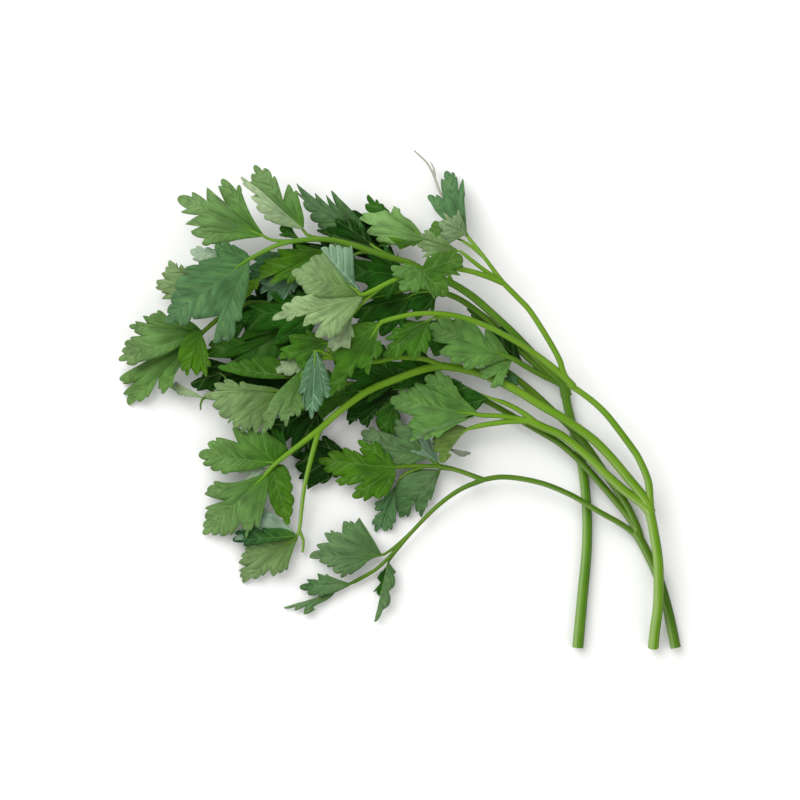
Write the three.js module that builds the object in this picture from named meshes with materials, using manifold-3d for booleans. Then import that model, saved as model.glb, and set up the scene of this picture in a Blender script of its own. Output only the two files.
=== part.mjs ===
// A cut bunch of flat-leaf parsley, lying on a table.
//
// It is three fronds. Each frond is one piece that grew together: a stem that
// branches twice, and the cut leaflets along and at the ends of its branches.
// The stems lie together at one end and the leaflets are heaped at the other.
//
// Lengths are in millimetres and angles in degrees. +Z is up, the table is z = 0.

import * as THREE from 'three';
import Module from 'manifold-3d';

const wasm = await Module();
wasm.setup();

// ---------------------------------------------------------------------------
// Sizes

// The bunch is laid out on a square plan, seen from above. A place on the plan
// is counted in squares, rightwards and downwards from its top left corner, and
// its middle lies over the origin.
const PLAN_SQUARE = 0.4;
const PLAN_MIDDLE = 400;

const BLADE_THICK = 0.8;
const PETIOLULE_THICK = 1.7;
const MIDRIB_THICK = 0.9;
// How far a leaflet's own little stalk runs on into its blade, as a share of it.
const MIDRIB_SHARE = 0.16;
// How far back along the branch it is rooted, as a share of its length.
const ROOT_BACK_SHARE = 0.35;
const LEAST_ROOT_BACK = 2;
// Where that little stalk bends, as a share of the way from branch to blade.
const PETIOLULE_BEND = 0.35;
// A branch that ends this near the start of a blade, in millimetres, runs into it.
const END_REACH = 0.5;

// A stalk is a tapered rod with flat sides, in straight lengths of STALK_STEP.
// One that starts thinner than THIN_STALK, and every leaflet's own little stalk,
// has TWIG_SIDES.
const STALK_SIDES = 6;
const STALK_STEP = 11;
const TWIG_SIDES = 4;
const THIN_STALK = 1.5;

// Height of a blade over its midrib, for each millimetre out to the side.
const FOLD = 0.05;
// Height of a blade over the rib of each lobe, for each millimetre from it.
const KEEL = 0.14;
// Ripple of a blade's rim, as a share of its length.
const RIPPLE = 0.03;
// How far a blade bends down from its base to its tip.
const ARCH = 24;
// How deep the cuts between lobes are: where they end, as a share of the lobe.
const CLEFT = 0.5;

// Corners nearer than this to the line of their neighbours go, after joining.
const SLIVER = 0.03;

// ---------------------------------------------------------------------------
// The three fronds
//
// A stalk passes the points of its route, given as [right, down, height] on the
// plan, and is as thick as the two numbers of `thick` at its start and its end.
// A leaflet has the point where its blade starts and the tip of its middle lobe.
// `lobes` are the places on the plan under the tips of its other lobes, with the
// width of the lobe against the others where it differs. `wide` is the width of
// all its lobes against the usual one. `roll` turns it about its own length.

// The frond whose stem is on the left. Its lower branches lie under the others,
// and its longest branch arches over the top of the heap.
const LEFT_FROND = {
  stalks: [
    {
      thick: [5.2, 4.6],
      route: [[578, 649, 2.2], [583, 600, 2.2], [587, 548, 2.2], [586, 508, 2.2],
        [581, 468, 2.1], [573, 429, 2.1], [564, 392, 2.2]],
    },
    {
      thick: [2.6, 1.8],
      route: [[564, 392, 2.4], [546, 378, 6], [530, 368, 11], [512, 358, 15.4]],
    },
    {
      thick: [3.8, 1.8],
      route: [[564, 392, 2.2], [552, 372, 4.5], [540, 359, 7], [515, 333, 11], [490, 308, 14],
        [470, 294, 16], [450, 284, 18], [430, 275, 20], [410, 264, 23], [385, 257, 27],
        [355, 246, 31], [324, 240, 33], [284, 244, 32], [251, 260, 29]],
    },
    {
      thick: [3.2, 1.6],
      route: [[564, 392, 2.2], [550, 378, 4], [535, 362, 6], [500, 327, 9.5], [480, 313, 11.5],
        [460, 301, 13], [441, 292, 14], [420, 287, 14.5], [380, 295, 15], [322, 302, 16]],
    },
  ],
  leaves: [
    { base: [266, 238, 31], tip: [180, 201, 14], lobes: [[223, 179, 0.7], [187, 226, 0.6]] },
    { base: [304, 231, 31], tip: [255, 167, 20], lobes: [[243, 179, 0.8], [293, 187, 0.8]] },
    {
      base: [251, 260, 29], tip: [171, 312, 20], lobes: [[191, 250], [229, 340]],
      cleft: 0.62, wide: 1.25, arch: 34,
    },
    { base: [366, 234, 22], tip: [298, 185, 9], lobes: [[330, 192, 0.6], [312, 219]], cleft: 0.4 },
    { base: [380, 250, 24], tip: [336, 226, 21], lobes: [[356, 226], [345, 245]] },
    {
      base: [426, 240, 17], tip: [368, 196, 8], lobes: [[361, 217, 1.2], [399, 208, 0.9]],
      cleft: 0.66, wide: 1.35,
    },
    { base: [512, 358, 15.4], tip: [430, 331, 19], lobes: [[446, 321], [445, 357]], wide: 1.4 },
    { base: [506, 362, 14.6], tip: [487, 383, 16], lobes: [[500, 386], [483, 372]], wide: 1.4 },
    { base: [326, 251, 27], tip: [259, 270, 22], lobes: [[274, 251], [288, 284]], wide: 1.6 },
    { base: [356, 258, 25], tip: [300, 264, 22], lobes: [[312, 250], [312, 280]], wide: 1.5 },
    { base: [298, 276, 21], tip: [266, 303, 15], lobes: [[288, 302], [260, 284]], wide: 1.6 },
    { base: [270, 278, 20], tip: [241, 304, 18], lobes: [], wide: 1.2 },
    {
      base: [322, 302, 16], tip: [262, 322, 13], lobes: [[282, 300], [284, 340, 0.8]],
      wide: 1.6, roll: -10,
    },
    { base: [408, 277, 18], tip: [350, 270, 19.5], lobes: [[372, 254], [366, 292]], wide: 1.8 },
    { base: [402, 298, 12.6], tip: [362, 314, 12], lobes: [[388, 324], [364, 297]], wide: 1.8 },
    { base: [466, 324, 12.5], tip: [420, 348, 13], lobes: [[424, 330], [438, 358]], wide: 1.4 },
    { base: [446, 296, 12], tip: [408, 306, 12], lobes: [[428, 318], [414, 290]], wide: 1.5 },
    { base: [303, 243, 30], tip: [284, 229, 27], lobes: [] },
  ],
};

// The frond whose stem lies over the others. It carries the top of the heap.
const FRONT_FROND = {
  stalks: [
    {
      thick: [5.6, 5],
      route: [[655, 649, 2.8], [655, 630, 5.2], [655, 612, 7.6], [656, 590, 9], [657, 560, 9.2],
        [653, 525, 9], [649, 503, 9.2]],
    },
    {
      thick: [3.4, 3],
      route: [[650, 503, 9.2], [647, 478, 10.5], [641, 458, 11.5], [629, 439, 12.4],
        [599, 407, 14], [569, 384, 15]],
    },
    {
      thick: [3, 2.6],
      route: [[569, 384, 15], [560, 365, 16.5], [552, 343, 18], [529, 309, 20], [502, 283, 21.5]],
    },
    { thick: [2.2, 1.4], route: [[502, 283, 21.5], [484, 258, 19], [467, 236, 15]] },
    {
      thick: [1.3, 0.9],
      route: [[467, 236, 15], [454, 212, 8.8], [443, 195, 7], [437, 182, 6.4], [426, 161, 5.4],
        [414, 149.6, 4.8]],
    },
    { thick: [2.2, 1.6], route: [[502, 283, 21.5], [480, 268, 22], [460, 252, 22]] },
    {
      thick: [2.4, 1.6],
      route: [[502, 283, 21.5], [483, 276, 24], [464, 271, 27.5], [440, 269, 31],
        [418, 274, 33.5], [395, 281, 35.5], [364, 296, 37.5]],
    },
    {
      thick: [3.4, 1.8],
      route: [[569, 384, 15], [551, 367, 17], [530, 350, 20], [500, 333, 23.5], [475, 322, 26],
        [450, 315, 28], [422, 315, 29.5], [402, 317, 30], [381, 323, 30]],
    },
    {
      thick: [5, 3.6],
      route: [[649, 503, 9.2], [620, 465, 11.6], [600, 445, 12.4], [570, 425, 12.8],
        [540, 408, 12.8], [510, 396, 12.6], [480, 378, 12.4], [460, 370, 12.4], [442, 366, 12.5]],
    },
    {
      thick: [2.2, 1.4],
      route: [[442, 366, 12.5], [424, 359, 14], [396, 360, 15.5], [375, 363, 17],
        [345, 360, 18.5], [316, 350, 20.5]],
    },
    {
      thick: [3.4, 2.6],
      route: [[442, 366, 12.5], [424, 369, 12.8], [396, 379, 13.5], [368, 391, 14],
        [340, 411, 14], [320, 428, 13.4]],
    },
    {
      thick: [2.4, 1.7],
      route: [[320, 428, 13.4], [300, 445, 12.4], [280, 462, 10.8], [267, 471, 9.4]],
    },
    {
      thick: [2.3, 1.3],
      route: [[320, 428, 13.4], [314, 455, 12], [308, 490, 9], [301, 525, 5.8], [297, 542, 4.6]],
    },
    { thick: [1.3, 1], route: [[299, 532, 5.2], [304, 541, 3.6], [303, 553, 2.4]] },
    {
      thick: [4.6, 3.8],
      route: [[649, 503, 9.2], [625, 478, 11], [600, 462, 11.8], [570, 443, 11.4],
        [545, 428, 10.9], [530, 421, 10.8]],
    },
    {
      thick: [2.4, 1.8],
      route: [[530, 421, 10.8], [510, 420, 11], [490, 421, 11], [475, 425, 10.9],
        [467, 429, 10.6]],
    },
    { thick: [2.2, 1.6], route: [[530, 421, 10.8], [510, 415, 11.5], [495, 414, 12], [481, 414, 12.5]] },
    { thick: [2, 1.4], route: [[530, 421, 10.8], [508, 408, 11], [490, 402, 11]] },
  ],
  leaves: [
    {
      base: [467, 236, 15], tip: [450, 171, 2],
      lobes: [[463, 178, 0.4], [428, 196, 0.9], [443, 241, 1.4]], cleft: 0.55, wide: 0.9,
    },
    { base: [455, 240, 12], tip: [431, 228, 9], lobes: [], wide: 1.4 },
    {
      base: [460, 252, 22], tip: [419, 246, 20], lobes: [[424, 231], [423, 259]],
      cleft: 0.65, wide: 1.4,
    },
    {
      base: [421, 272, 34.4], tip: [464, 268, 31.6], lobes: [[455, 251], [440, 300]],
      cleft: 0.65, wide: 1.5,
    },
    {
      base: [419, 275, 34.6], tip: [390, 270, 36.6], lobes: [[399, 292], [402, 261]],
      cleft: 0.6, wide: 1.5,
    },
    {
      base: [364, 296, 37.5], tip: [277, 320, 33], lobes: [[295, 270], [330, 249], [314, 346]],
      cleft: 0.66, wide: 1.35, arch: 34,
    },
    {
      base: [381, 323, 30], tip: [335, 392, 21], lobes: [[369, 375], [331, 343, 0.8]],
      cleft: 0.45, wide: 1.3,
    },
    { base: [430, 320, 27], tip: [384, 342, 25], lobes: [[406, 361], [393, 328]], wide: 1.6 },
    {
      base: [481, 414, 12.5], tip: [391, 406, 10], lobes: [[434, 373, 0.7], [413, 436, 0.8]],
      cleft: 0.6, wide: 1.4,
    },
    { base: [467, 429, 10.6], tip: [439, 462, 9], lobes: [[424, 438], [449, 452, 0.5]], wide: 1.3 },
    { base: [490, 402, 11], tip: [456, 382, 8.5], lobes: [[470, 409]], wide: 1.2 },
    { base: [455, 446, 9], tip: [471, 453, 7.5], lobes: [], wide: 0.7 },
    {
      base: [267, 471, 9.4], tip: [198, 456, 5],
      lobes: [[231, 427, 0.8], [210, 441], [221, 474, 0.6]], wide: 1.4,
    },
    { base: [288, 456, 9], tip: [262, 434, 6], lobes: [[278, 430], [260, 446]], wide: 1.4 },
    {
      base: [268, 480, 8.4], tip: [203, 532, 1.6], lobes: [[204, 494, 0.8], [246, 538, 0.7]],
      cleft: 0.55, wide: 1.3, roll: 10,
    },
    { base: [274, 475, 8.6], tip: [287, 524, 8.4], lobes: [], wide: 0.9 },
    {
      base: [297, 542, 4.6], tip: [240, 581, 1.4], lobes: [[243, 552, 0.8], [284, 573, 0.6]],
      cleft: 0.68, wide: 1.3,
    },
    { base: [296, 534, 7], tip: [233, 540, 4.6], lobes: [[265, 509], [247, 546, 0.5]] },
    { base: [306, 369, 18], tip: [286, 427, 16.8], lobes: [[263, 432], [302, 414, 0.5]], wide: 1.2 },
    { base: [316, 350, 20.5], tip: [311, 417, 17.6], lobes: [[332, 395], [300, 402, 0.5]] },
    { base: [318, 343, 20], tip: [281, 354, 17.4], lobes: [[289, 337], [277, 372]], wide: 1.5 },
  ],
};

// The frond whose stem is on the right, with leaflets down on the table.
const RIGHT_FROND = {
  stalks: [
    {
      thick: [5.4, 4.8],
      route: [[673, 649, 2.8], [664, 612, 2.8], [652, 580, 2.8], [643, 552, 2.8], [635, 533, 3]],
    },
    {
      thick: [3, 2.4],
      route: [[635, 533, 3], [620, 523, 4.6], [604, 515, 7], [590, 507, 7.7], [570, 498, 7.7],
        [545, 489, 7.2], [520, 481, 7], [500, 479, 7.2], [483, 480, 7.4]],
    },
    {
      thick: [2, 1.6],
      route: [[483, 480, 7.4], [465, 473, 6.8], [452, 469, 6.5], [442, 467, 6.2],
        [420, 466, 6.2], [398, 467, 6.8]],
    },
    {
      thick: [2.2, 1.3],
      route: [[483, 480, 7.4], [460, 489, 6.8], [438, 504, 6], [416, 526, 5], [387, 558, 3.6],
        [372, 571, 3], [350, 584, 2.6]],
    },
    {
      thick: [3.4, 1.8],
      route: [[635, 533, 3], [620, 509, 4.4], [600, 485, 6.6], [580, 462, 7.4], [551, 439, 6],
        [527, 426, 5.2], [505, 413, 5.4], [485, 403, 5.6], [460, 391, 5.8], [420, 386, 6.5],
        [380, 385, 7.6], [340, 384, 9.6], [310, 388, 11.8], [284, 391, 13.4]],
    },
    {
      thick: [4, 1.8],
      route: [[635, 533, 3], [620, 491, 4.8], [600, 463, 6.8], [584, 445, 7.3], [562, 422, 7.3],
        [545, 403, 7], [533, 391, 6.8], [518, 378, 6.8], [508, 369, 7], [480, 350, 8],
        [440, 330, 9], [390, 320, 10], [340, 313, 10.5], [290, 306, 11], [250, 303, 12],
        [222, 316, 12.6], [203, 332, 12.6]],
    },
  ],
  leaves: [
    {
      base: [214, 300, 12], tip: [155, 284, 6], lobes: [[170, 260], [161, 298], [194, 271]],
      cleft: 0.6, wide: 1.3,
    },
    {
      base: [398, 467, 6.8], tip: [319, 457, 4.8], lobes: [[357, 441], [340, 484], [355, 498]],
      wide: 1.3,
    },
    { base: [431, 459, 5], tip: [361, 433, 3], lobes: [[385, 428], [388, 462]], wide: 1.4 },
    { base: [441, 470, 4], tip: [405, 518, 1.6], lobes: [[422, 518, 0.6], [396, 492]], wide: 1.4 },
    { base: [398, 484, 3.6], tip: [380, 533, 1.2], lobes: [[373, 508], [392, 530]], wide: 1.4 },
    {
      base: [384, 556, 3.8], tip: [309, 558, 2.6], lobes: [[356, 518, 0.8], [344, 578, 0.8], [324, 531]],
      cleft: 0.62, wide: 1.2,
    },
    { base: [350, 584, 2.6], tip: [299, 588, 2], lobes: [[318, 574], [309, 596]], cleft: 0.6 },
    { base: [339, 593, 1.4], tip: [283, 609, 0.9], lobes: [[303, 614]], cleft: 0.6, wide: 0.6 },
    { base: [388, 563, 2.4], tip: [375, 622, 1.2], lobes: [[373, 594]], wide: 0.7, fold: 0.5 },
    {
      base: [284, 391, 13.4], tip: [207, 393, 10.4], lobes: [[225, 380, 0.7], [230, 423, 1.1]],
      cleft: 0.8, wide: 1.8, roll: -8,
    },
    { base: [203, 332, 12.6], tip: [123, 353, 8.4], lobes: [[132, 325], [153, 315, 0.8]], wide: 1.5 },
    {
      base: [199, 337, 10.4], tip: [128, 403, 1], lobes: [[122, 380], [164, 392, 0.9]],
      wide: 1.3, roll: 12,
    },
    { base: [200, 331, 14.4], tip: [188, 376, 12], lobes: [[208, 377]], wide: 1.4 },
    { base: [286, 320, 9.4], tip: [214, 347, 8], lobes: [[242, 328], [250, 362]], wide: 1.4 },
    { base: [298, 374, 12], tip: [218, 366, 11], lobes: [], wide: 1 },
    { base: [240, 395, 9], tip: [171, 388, 3], lobes: [], wide: 0.4 },
    { base: [396, 388, 5.4], tip: [352, 423, 4], lobes: [[368, 426], [340, 400]], wide: 2 },
    { base: [398, 380, 8.4], tip: [346, 368, 9], lobes: [[366, 356], [352, 386]], wide: 1.6 },
    { base: [436, 384, 7.4], tip: [392, 372, 7.4], lobes: [[408, 362], [396, 386]], wide: 1.4 },
    { base: [326, 398, 7.6], tip: [271, 436, 4], lobes: [[292, 448], [280, 412]], wide: 1.9 },
    { base: [362, 460, 3.6], tip: [297, 474, 2], lobes: [[306, 488, 0.6], [300, 448]], wide: 1.4 },
  ],
};

// ---------------------------------------------------------------------------
// Points, meshes and solids

const UP = new THREE.Vector3(0, 0, 1);

// A point of the plan at its height above the table.
function placed([right, down, height]) {
  const x = (right - PLAN_MIDDLE) * PLAN_SQUARE;
  const y = (PLAN_MIDDLE - down) * PLAN_SQUARE;
  return new THREE.Vector3(x, y, height);
}

// A closed mesh as a manifold solid.
function solidOf(points, triangles) {
  const flat = points.flatMap((point) => [point.x, point.y, point.z]);
  const mesh = new wasm.Mesh({
    numProp: 3,
    vertProperties: new Float32Array(flat),
    triVerts: new Uint32Array(triangles.flat()),
  });
  return new wasm.Manifold(mesh);
}

// ---------------------------------------------------------------------------
// Stalks

// Points along a stalk's route, at even steps of about STALK_STEP.
function routePoints(route) {
  const corners = route.map(placed);
  const curve = new THREE.CatmullRomCurve3(corners, false, 'catmullrom', 0.5);
  const steps = Math.max(2, Math.round(curve.getLength() / STALK_STEP));
  return curve.getSpacedPoints(steps);
}

// A rod along the points, its radius going evenly from the first to the last.
function rod(points, sides, firstRadius, lastRadius) {
  const last = points.length - 1;
  const ring = [];
  const triangles = [];
  let across = new THREE.Vector3();
  points.forEach((point, row) => {
    const before = points[Math.max(row - 1, 0)];
    const after = points[Math.min(row + 1, last)];
    const along = after.clone().sub(before).normalize();
    if (row === 0) {
      across.crossVectors(UP, along).normalize();
    }
    across.addScaledVector(along, -across.dot(along)).normalize();
    const over = new THREE.Vector3().crossVectors(along, across);
    const radius = THREE.MathUtils.lerp(firstRadius, lastRadius, row / last);
    for (let side = 0; side < sides; side += 1) {
      const angle = (2 * Math.PI * (side + 0.5)) / sides;
      const corner = point.clone();
      corner.addScaledVector(across, radius * Math.cos(angle));
      corner.addScaledVector(over, radius * Math.sin(angle));
      ring.push(corner);
    }
  });
  for (let row = 0; row < last; row += 1) {
    for (let side = 0; side < sides; side += 1) {
      const here = row * sides + side;
      const next = row * sides + ((side + 1) % sides);
      triangles.push([here, next, next + sides]);
      triangles.push([here, next + sides, here + sides]);
    }
  }
  for (let side = 1; side < sides - 1; side += 1) {
    triangles.push([0, side + 1, side]);
    triangles.push([last * sides, last * sides + side, last * sides + side + 1]);
  }
  return solidOf(ring, triangles);
}

// ---------------------------------------------------------------------------
// Leaflets

// The margin of half a lobe, from its cut or its base to its tip, as
// [share along the rib, share out from the rib] of the lobe's length.
const INNER_MARGIN = [[0.7, 0.27], [0.76, 0.19], [0.93, 0.17]];
const OUTER_MARGIN = [[0.32, 0.11], [0.66, 0.24], [0.72, 0.17], [0.92, 0.16]];
// Teeth fill this share of the gap between two lobes, which counts up to WIDEST_GAP.
const SLIT_SHARE = 0.9;
const WIDEST_GAP = 2.4;
// Points of the rib that the blade's triangles meet at.
const RIB_SHARES = [0.38, 0.66];

// The lobes of a leaflet in its own flat frame, from right to left. A lobe has
// its angle from the leaflet's length, its length as a share of the blade's, and
// its width against the usual one.
function lobesOf(leaf) {
  const base = placed(leaf.base);
  const tip = placed(leaf.tip);
  const onPlan = tip.clone().sub(base).setZ(0);
  const planLength = onPlan.length();
  const roll = THREE.MathUtils.degToRad(leaf.roll ?? 0);
  const wide = leaf.wide ?? 1;
  const lobes = leaf.lobes.map(([right, down, ownWide = 1]) => {
    const reach = placed([right, down, 0]).sub(base).setZ(0);
    const along = reach.dot(onPlan) / planLength ** 2;
    const leftward = (onPlan.x * reach.y - onPlan.y * reach.x) / planLength ** 2;
    const out = leftward / Math.cos(roll) * (planLength / tip.distanceTo(base));
    return { angle: Math.atan2(out, along), length: Math.hypot(along, out), wide: wide * ownWide };
  });
  lobes.push({ angle: 0, length: 1, wide });
  lobes.sort((one, other) => one.angle - other.angle);
  return lobes;
}

// The outline corners and triangles of a blade lying flat, as shares of its
// length. Every lobe has a rib down its middle and teeth on both sides.
function flatBlade(leaf) {
  const lobes = lobesOf(leaf);
  const corners = [[0, 0]];
  const triangles = [];
  const rim = [0];
  const add = (along, out, lobe) => {
    const x = lobe.length * (along * Math.cos(lobe.angle) - out * Math.sin(lobe.angle));
    const y = lobe.length * (along * Math.sin(lobe.angle) + out * Math.cos(lobe.angle));
    corners.push([x, y]);
    return corners.length - 1;
  };
  let cut = null;
  lobes.forEach((lobe, index) => {
    const ribs = RIB_SHARES.map((share) => add(share, 0, lobe));
    const tip = add(1, 0, lobe);
    const halves = [-1, 1].map((side) => {
      const neighbour = lobes[index + side];
      if (!neighbour) {
        return OUTER_MARGIN.map(([along, out]) => add(along, side * out * lobe.wide, lobe));
      }
      const halfGap = Math.abs(neighbour.angle - lobe.angle) / 2;
      const most = SLIT_SHARE * Math.tan(Math.min(halfGap, WIDEST_GAP / 2)) * INNER_MARGIN[0][0];
      const narrowed = Math.min(lobe.wide, most / INNER_MARGIN[0][1]);
      const teeth = INNER_MARGIN.map(([along, out]) => add(along, side * out * narrowed, lobe));
      if (side < 0) {
        return [cut, ...teeth];
      }
      const reach = (leaf.cleft ?? CLEFT) * Math.min(lobe.length, neighbour.length);
      const near = (reach * Math.cos(halfGap)) / lobe.length;
      cut = add(near * Math.cos(halfGap), near * Math.sin(halfGap), lobe);
      return [cut, ...teeth];
    });
    halves.forEach((half, which) => {
      const turn = which === 0 ? 1 : -1;
      const fan = (a, b, c) => triangles.push(turn > 0 ? [a, b, c] : [a, c, b]);
      fan(0, half[0], ribs[0]);
      fan(half[0], half[1], ribs[0]);
      fan(half[1], ribs[1], ribs[0]);
      for (let corner = 1; corner < half.length - 1; corner += 1) {
        fan(half[corner], half[corner + 1], ribs[1]);
      }
      fan(half[half.length - 1], tip, ribs[1]);
    });
    const rightHalf = index === 0 ? halves[0] : halves[0].slice(1);
    rim.push(...rightHalf, tip, ...halves[1].slice().reverse());
  });
  return { corners, triangles, rim, lobes };
}

// How high a flat blade's point stands over its plane, in shares of its length:
// a shallow fold along the midrib, a channel along each rib, a rippled rim.
function rise(leaf, lobes, phase, [along, out]) {
  const reach = Math.hypot(along, out);
  const angle = Math.atan2(out, along);
  const offRib = lobes.map((lobe) => reach * Math.abs(Math.sin(angle - lobe.angle)));
  const fold = (leaf.fold ?? FOLD) * Math.abs(out);
  const channel = KEEL * Math.min(...offRib);
  const ripple = RIPPLE * reach ** 2 * Math.cos(3 * angle + phase);
  return fold + channel + ripple;
}

// A leaflet's surface: where a flat point of its blade lies on the table's frame.
function surfaceOf(leaf, lobes, phase) {
  const base = placed(leaf.base);
  const tip = placed(leaf.tip);
  const chord = tip.distanceTo(base);
  const ahead = tip.clone().sub(base).normalize();
  const level = new THREE.Vector3().crossVectors(UP, ahead).normalize();
  const above = new THREE.Vector3().crossVectors(ahead, level);
  const roll = THREE.MathUtils.degToRad(leaf.roll ?? 0);
  const left = level.clone().multiplyScalar(Math.cos(roll));
  left.addScaledVector(above, Math.sin(roll));
  const normal = new THREE.Vector3().crossVectors(ahead, left);
  const bend = THREE.MathUtils.degToRad(leaf.arch ?? ARCH);
  const length = (chord * bend) / 2 / Math.sin(bend / 2);
  return ([along, out]) => {
    const slope = bend / 2 - bend * along;
    const forward = (length / bend) * (Math.sin(bend / 2) - Math.sin(slope));
    const upward = (length / bend) * (Math.cos(slope) - Math.cos(bend / 2));
    const height = rise(leaf, lobes, phase, [along, out]) * length;
    return base.clone()
      .addScaledVector(ahead, forward - height * Math.sin(slope))
      .addScaledVector(left, out * length)
      .addScaledVector(normal, upward + height * Math.cos(slope));
  };
}

// The blade: one sheet of BLADE_THICK, cut alike on its two faces.
function blade(leaf, phase) {
  const { corners, triangles, rim, lobes } = flatBlade(leaf);
  const surface = surfaceOf(leaf, lobes, phase);
  const middle = corners.map(surface);
  const normals = middle.map(() => new THREE.Vector3());
  triangles.forEach(([a, b, c]) => {
    const one = middle[b].clone().sub(middle[a]);
    const other = middle[c].clone().sub(middle[a]);
    const facing = one.cross(other);
    [a, b, c].forEach((corner) => normals[corner].add(facing));
  });
  normals.forEach((normal) => normal.normalize());
  const half = BLADE_THICK / 2;
  const top = middle.map((point, i) => point.clone().addScaledVector(normals[i], half));
  const under = middle.map((point, i) => point.clone().addScaledVector(normals[i], -half));
  const count = middle.length;
  const faces = triangles.map((triangle) => triangle.slice());
  triangles.forEach(([a, b, c]) => faces.push([a + count, c + count, b + count]));
  rim.forEach((corner, i) => {
    const next = rim[(i + 1) % rim.length];
    faces.push([corner, corner + count, next + count]);
    faces.push([corner, next + count, next]);
  });
  return { solid: solidOf([...top, ...under], faces), surface };
}

// The branch that ends where a leaflet begins, if there is one.
function branchUnder(leaf, branches) {
  const base = placed(leaf.base);
  return branches.find((points) => points[points.length - 1].distanceTo(base) < END_REACH);
}

// The little stalk of a leaflet at the side of a branch, into its blade's midrib.
function petiolule(leaf, surface, branches) {
  const base = placed(leaf.base);
  let best = null;
  branches.forEach((points) => {
    points.forEach((point, index) => {
      const distance = point.distanceTo(base);
      if (!best || distance < best.distance) {
        best = { distance, points, index };
      }
    });
  });
  const back = Math.max(LEAST_ROOT_BACK, best.distance * ROOT_BACK_SHARE);
  const nearest = best.points[best.index];
  const root = best.points.slice(0, best.index + 1).reverse()
    .find((point) => point.distanceTo(nearest) >= back) ?? best.points[0];
  const bent = new THREE.QuadraticBezierCurve3(root, nearest.clone().lerp(base, PETIOLULE_BEND), base);
  const steps = Math.max(1, Math.round(bent.getLength() / STALK_STEP));
  const path = bent.getPoints(steps);
  path.push(surface([MIDRIB_SHARE, 0]));
  return rod(path, TWIG_SIDES, PETIOLULE_THICK / 2, MIDRIB_THICK / 2);
}

// ---------------------------------------------------------------------------
// Fronds

// The golden angle, which sets each leaflet's ripple apart from the last one's.
const GOLDEN_ANGLE = Math.PI * (3 - Math.sqrt(5));

// A solid without anything below the table, its sealed hollows and its scraps.
function tidied(solid) {
  const aboveTable = solid.trimByPlane([0, 0, 1], 0);
  const pieces = aboveTable.simplify(SLIVER).decompose();
  pieces.sort((one, other) => other.volume() - one.volume());
  return pieces[0];
}

// One frond as a single closed body.
function frond(plan) {
  const branches = plan.stalks.map((stalk) => routePoints(stalk.route));
  const leaflets = plan.leaves.flatMap((leaf, index) => {
    const { solid, surface } = blade(leaf, GOLDEN_ANGLE * index);
    const branch = branchUnder(leaf, branches);
    if (branch) {
      branch.push(surface([MIDRIB_SHARE, 0]));
      return [solid];
    }
    return [solid, petiolule(leaf, surface, branches)];
  });
  const rods = plan.stalks.map((stalk, index) => {
    const [first, last] = stalk.thick;
    const sides = first < THIN_STALK ? TWIG_SIDES : STALK_SIDES;
    return rod(branches[index], sides, first / 2, last / 2);
  });
  return tidied(wasm.Manifold.union([...rods, ...leaflets]));
}

function meshOf(name, plan, colour) {
  const { vertProperties, triVerts } = frond(plan).getMesh();
  const geometry = new THREE.BufferGeometry();
  geometry.setAttribute('position', new THREE.BufferAttribute(vertProperties, 3));
  geometry.setIndex(new THREE.BufferAttribute(triVerts, 1));
  geometry.computeVertexNormals();
  const material = new THREE.MeshStandardMaterial({ color: colour, roughness: 0.6, metalness: 0 });
  const mesh = new THREE.Mesh(geometry, material);
  mesh.name = name;
  return mesh;
}

const bunch = new THREE.Group();
bunch.name = 'parsley_bunch';
bunch.add(meshOf('frond_left', LEFT_FROND, 0x3f7a35));
bunch.add(meshOf('frond_front', FRONT_FROND, 0x5f9a3c));
bunch.add(meshOf('frond_right', RIGHT_FROND, 0x4c8a3a));

export default bunch;
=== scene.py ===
# A cut bunch of flat-leaf parsley, lying on a pale table: three fronds, each a ribbed stem
# with its branches and leaflets. Lengths are metres in the scene; sizes are written in mm.

import math

import bpy
import numpy as np
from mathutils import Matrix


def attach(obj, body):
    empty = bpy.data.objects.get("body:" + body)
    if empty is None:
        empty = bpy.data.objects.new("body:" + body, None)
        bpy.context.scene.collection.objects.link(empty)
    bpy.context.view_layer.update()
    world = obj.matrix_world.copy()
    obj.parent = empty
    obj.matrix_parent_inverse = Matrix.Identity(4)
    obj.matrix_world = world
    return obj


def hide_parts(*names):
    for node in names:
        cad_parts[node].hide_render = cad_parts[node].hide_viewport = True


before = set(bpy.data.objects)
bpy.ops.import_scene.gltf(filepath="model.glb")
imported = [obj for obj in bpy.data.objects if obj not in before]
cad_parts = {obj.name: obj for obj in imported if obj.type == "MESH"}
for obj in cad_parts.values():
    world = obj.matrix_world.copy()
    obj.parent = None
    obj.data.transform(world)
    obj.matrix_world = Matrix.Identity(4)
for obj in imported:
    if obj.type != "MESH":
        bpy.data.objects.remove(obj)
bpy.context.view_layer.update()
scene = bpy.context.scene

# ---------------------------------------------------------------------------
# The camera
#
# It looks straight down on the bunch from far off, through a long lens, so that
# the whole plan of the bunch keeps one scale.

MM = 0.001
VIEW_WIDTH = 320 * MM
CAMERA_HEIGHT = 2000 * MM
MIDDLE_OF_HEAP = 12 * MM
SENSOR = 36

camera_data = bpy.data.cameras.new("camera")
camera_data.sensor_width = SENSOR
camera_data.lens = SENSOR * (CAMERA_HEIGHT - MIDDLE_OF_HEAP) / VIEW_WIDTH
camera = bpy.data.objects.new("camera", camera_data)
camera.location = (0, 0, CAMERA_HEIGHT)
scene.collection.objects.link(camera)
scene.camera = camera

# ---------------------------------------------------------------------------
# The leaflets of the left frond
#
# A parsley leaflet is a thin soft blade, cut into lobes that end in blunt teeth. A
# pale rib runs into each lobe and side veins run to the teeth, sunk into the glossy
# upper face and raised on the dull, paler underside.

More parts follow.
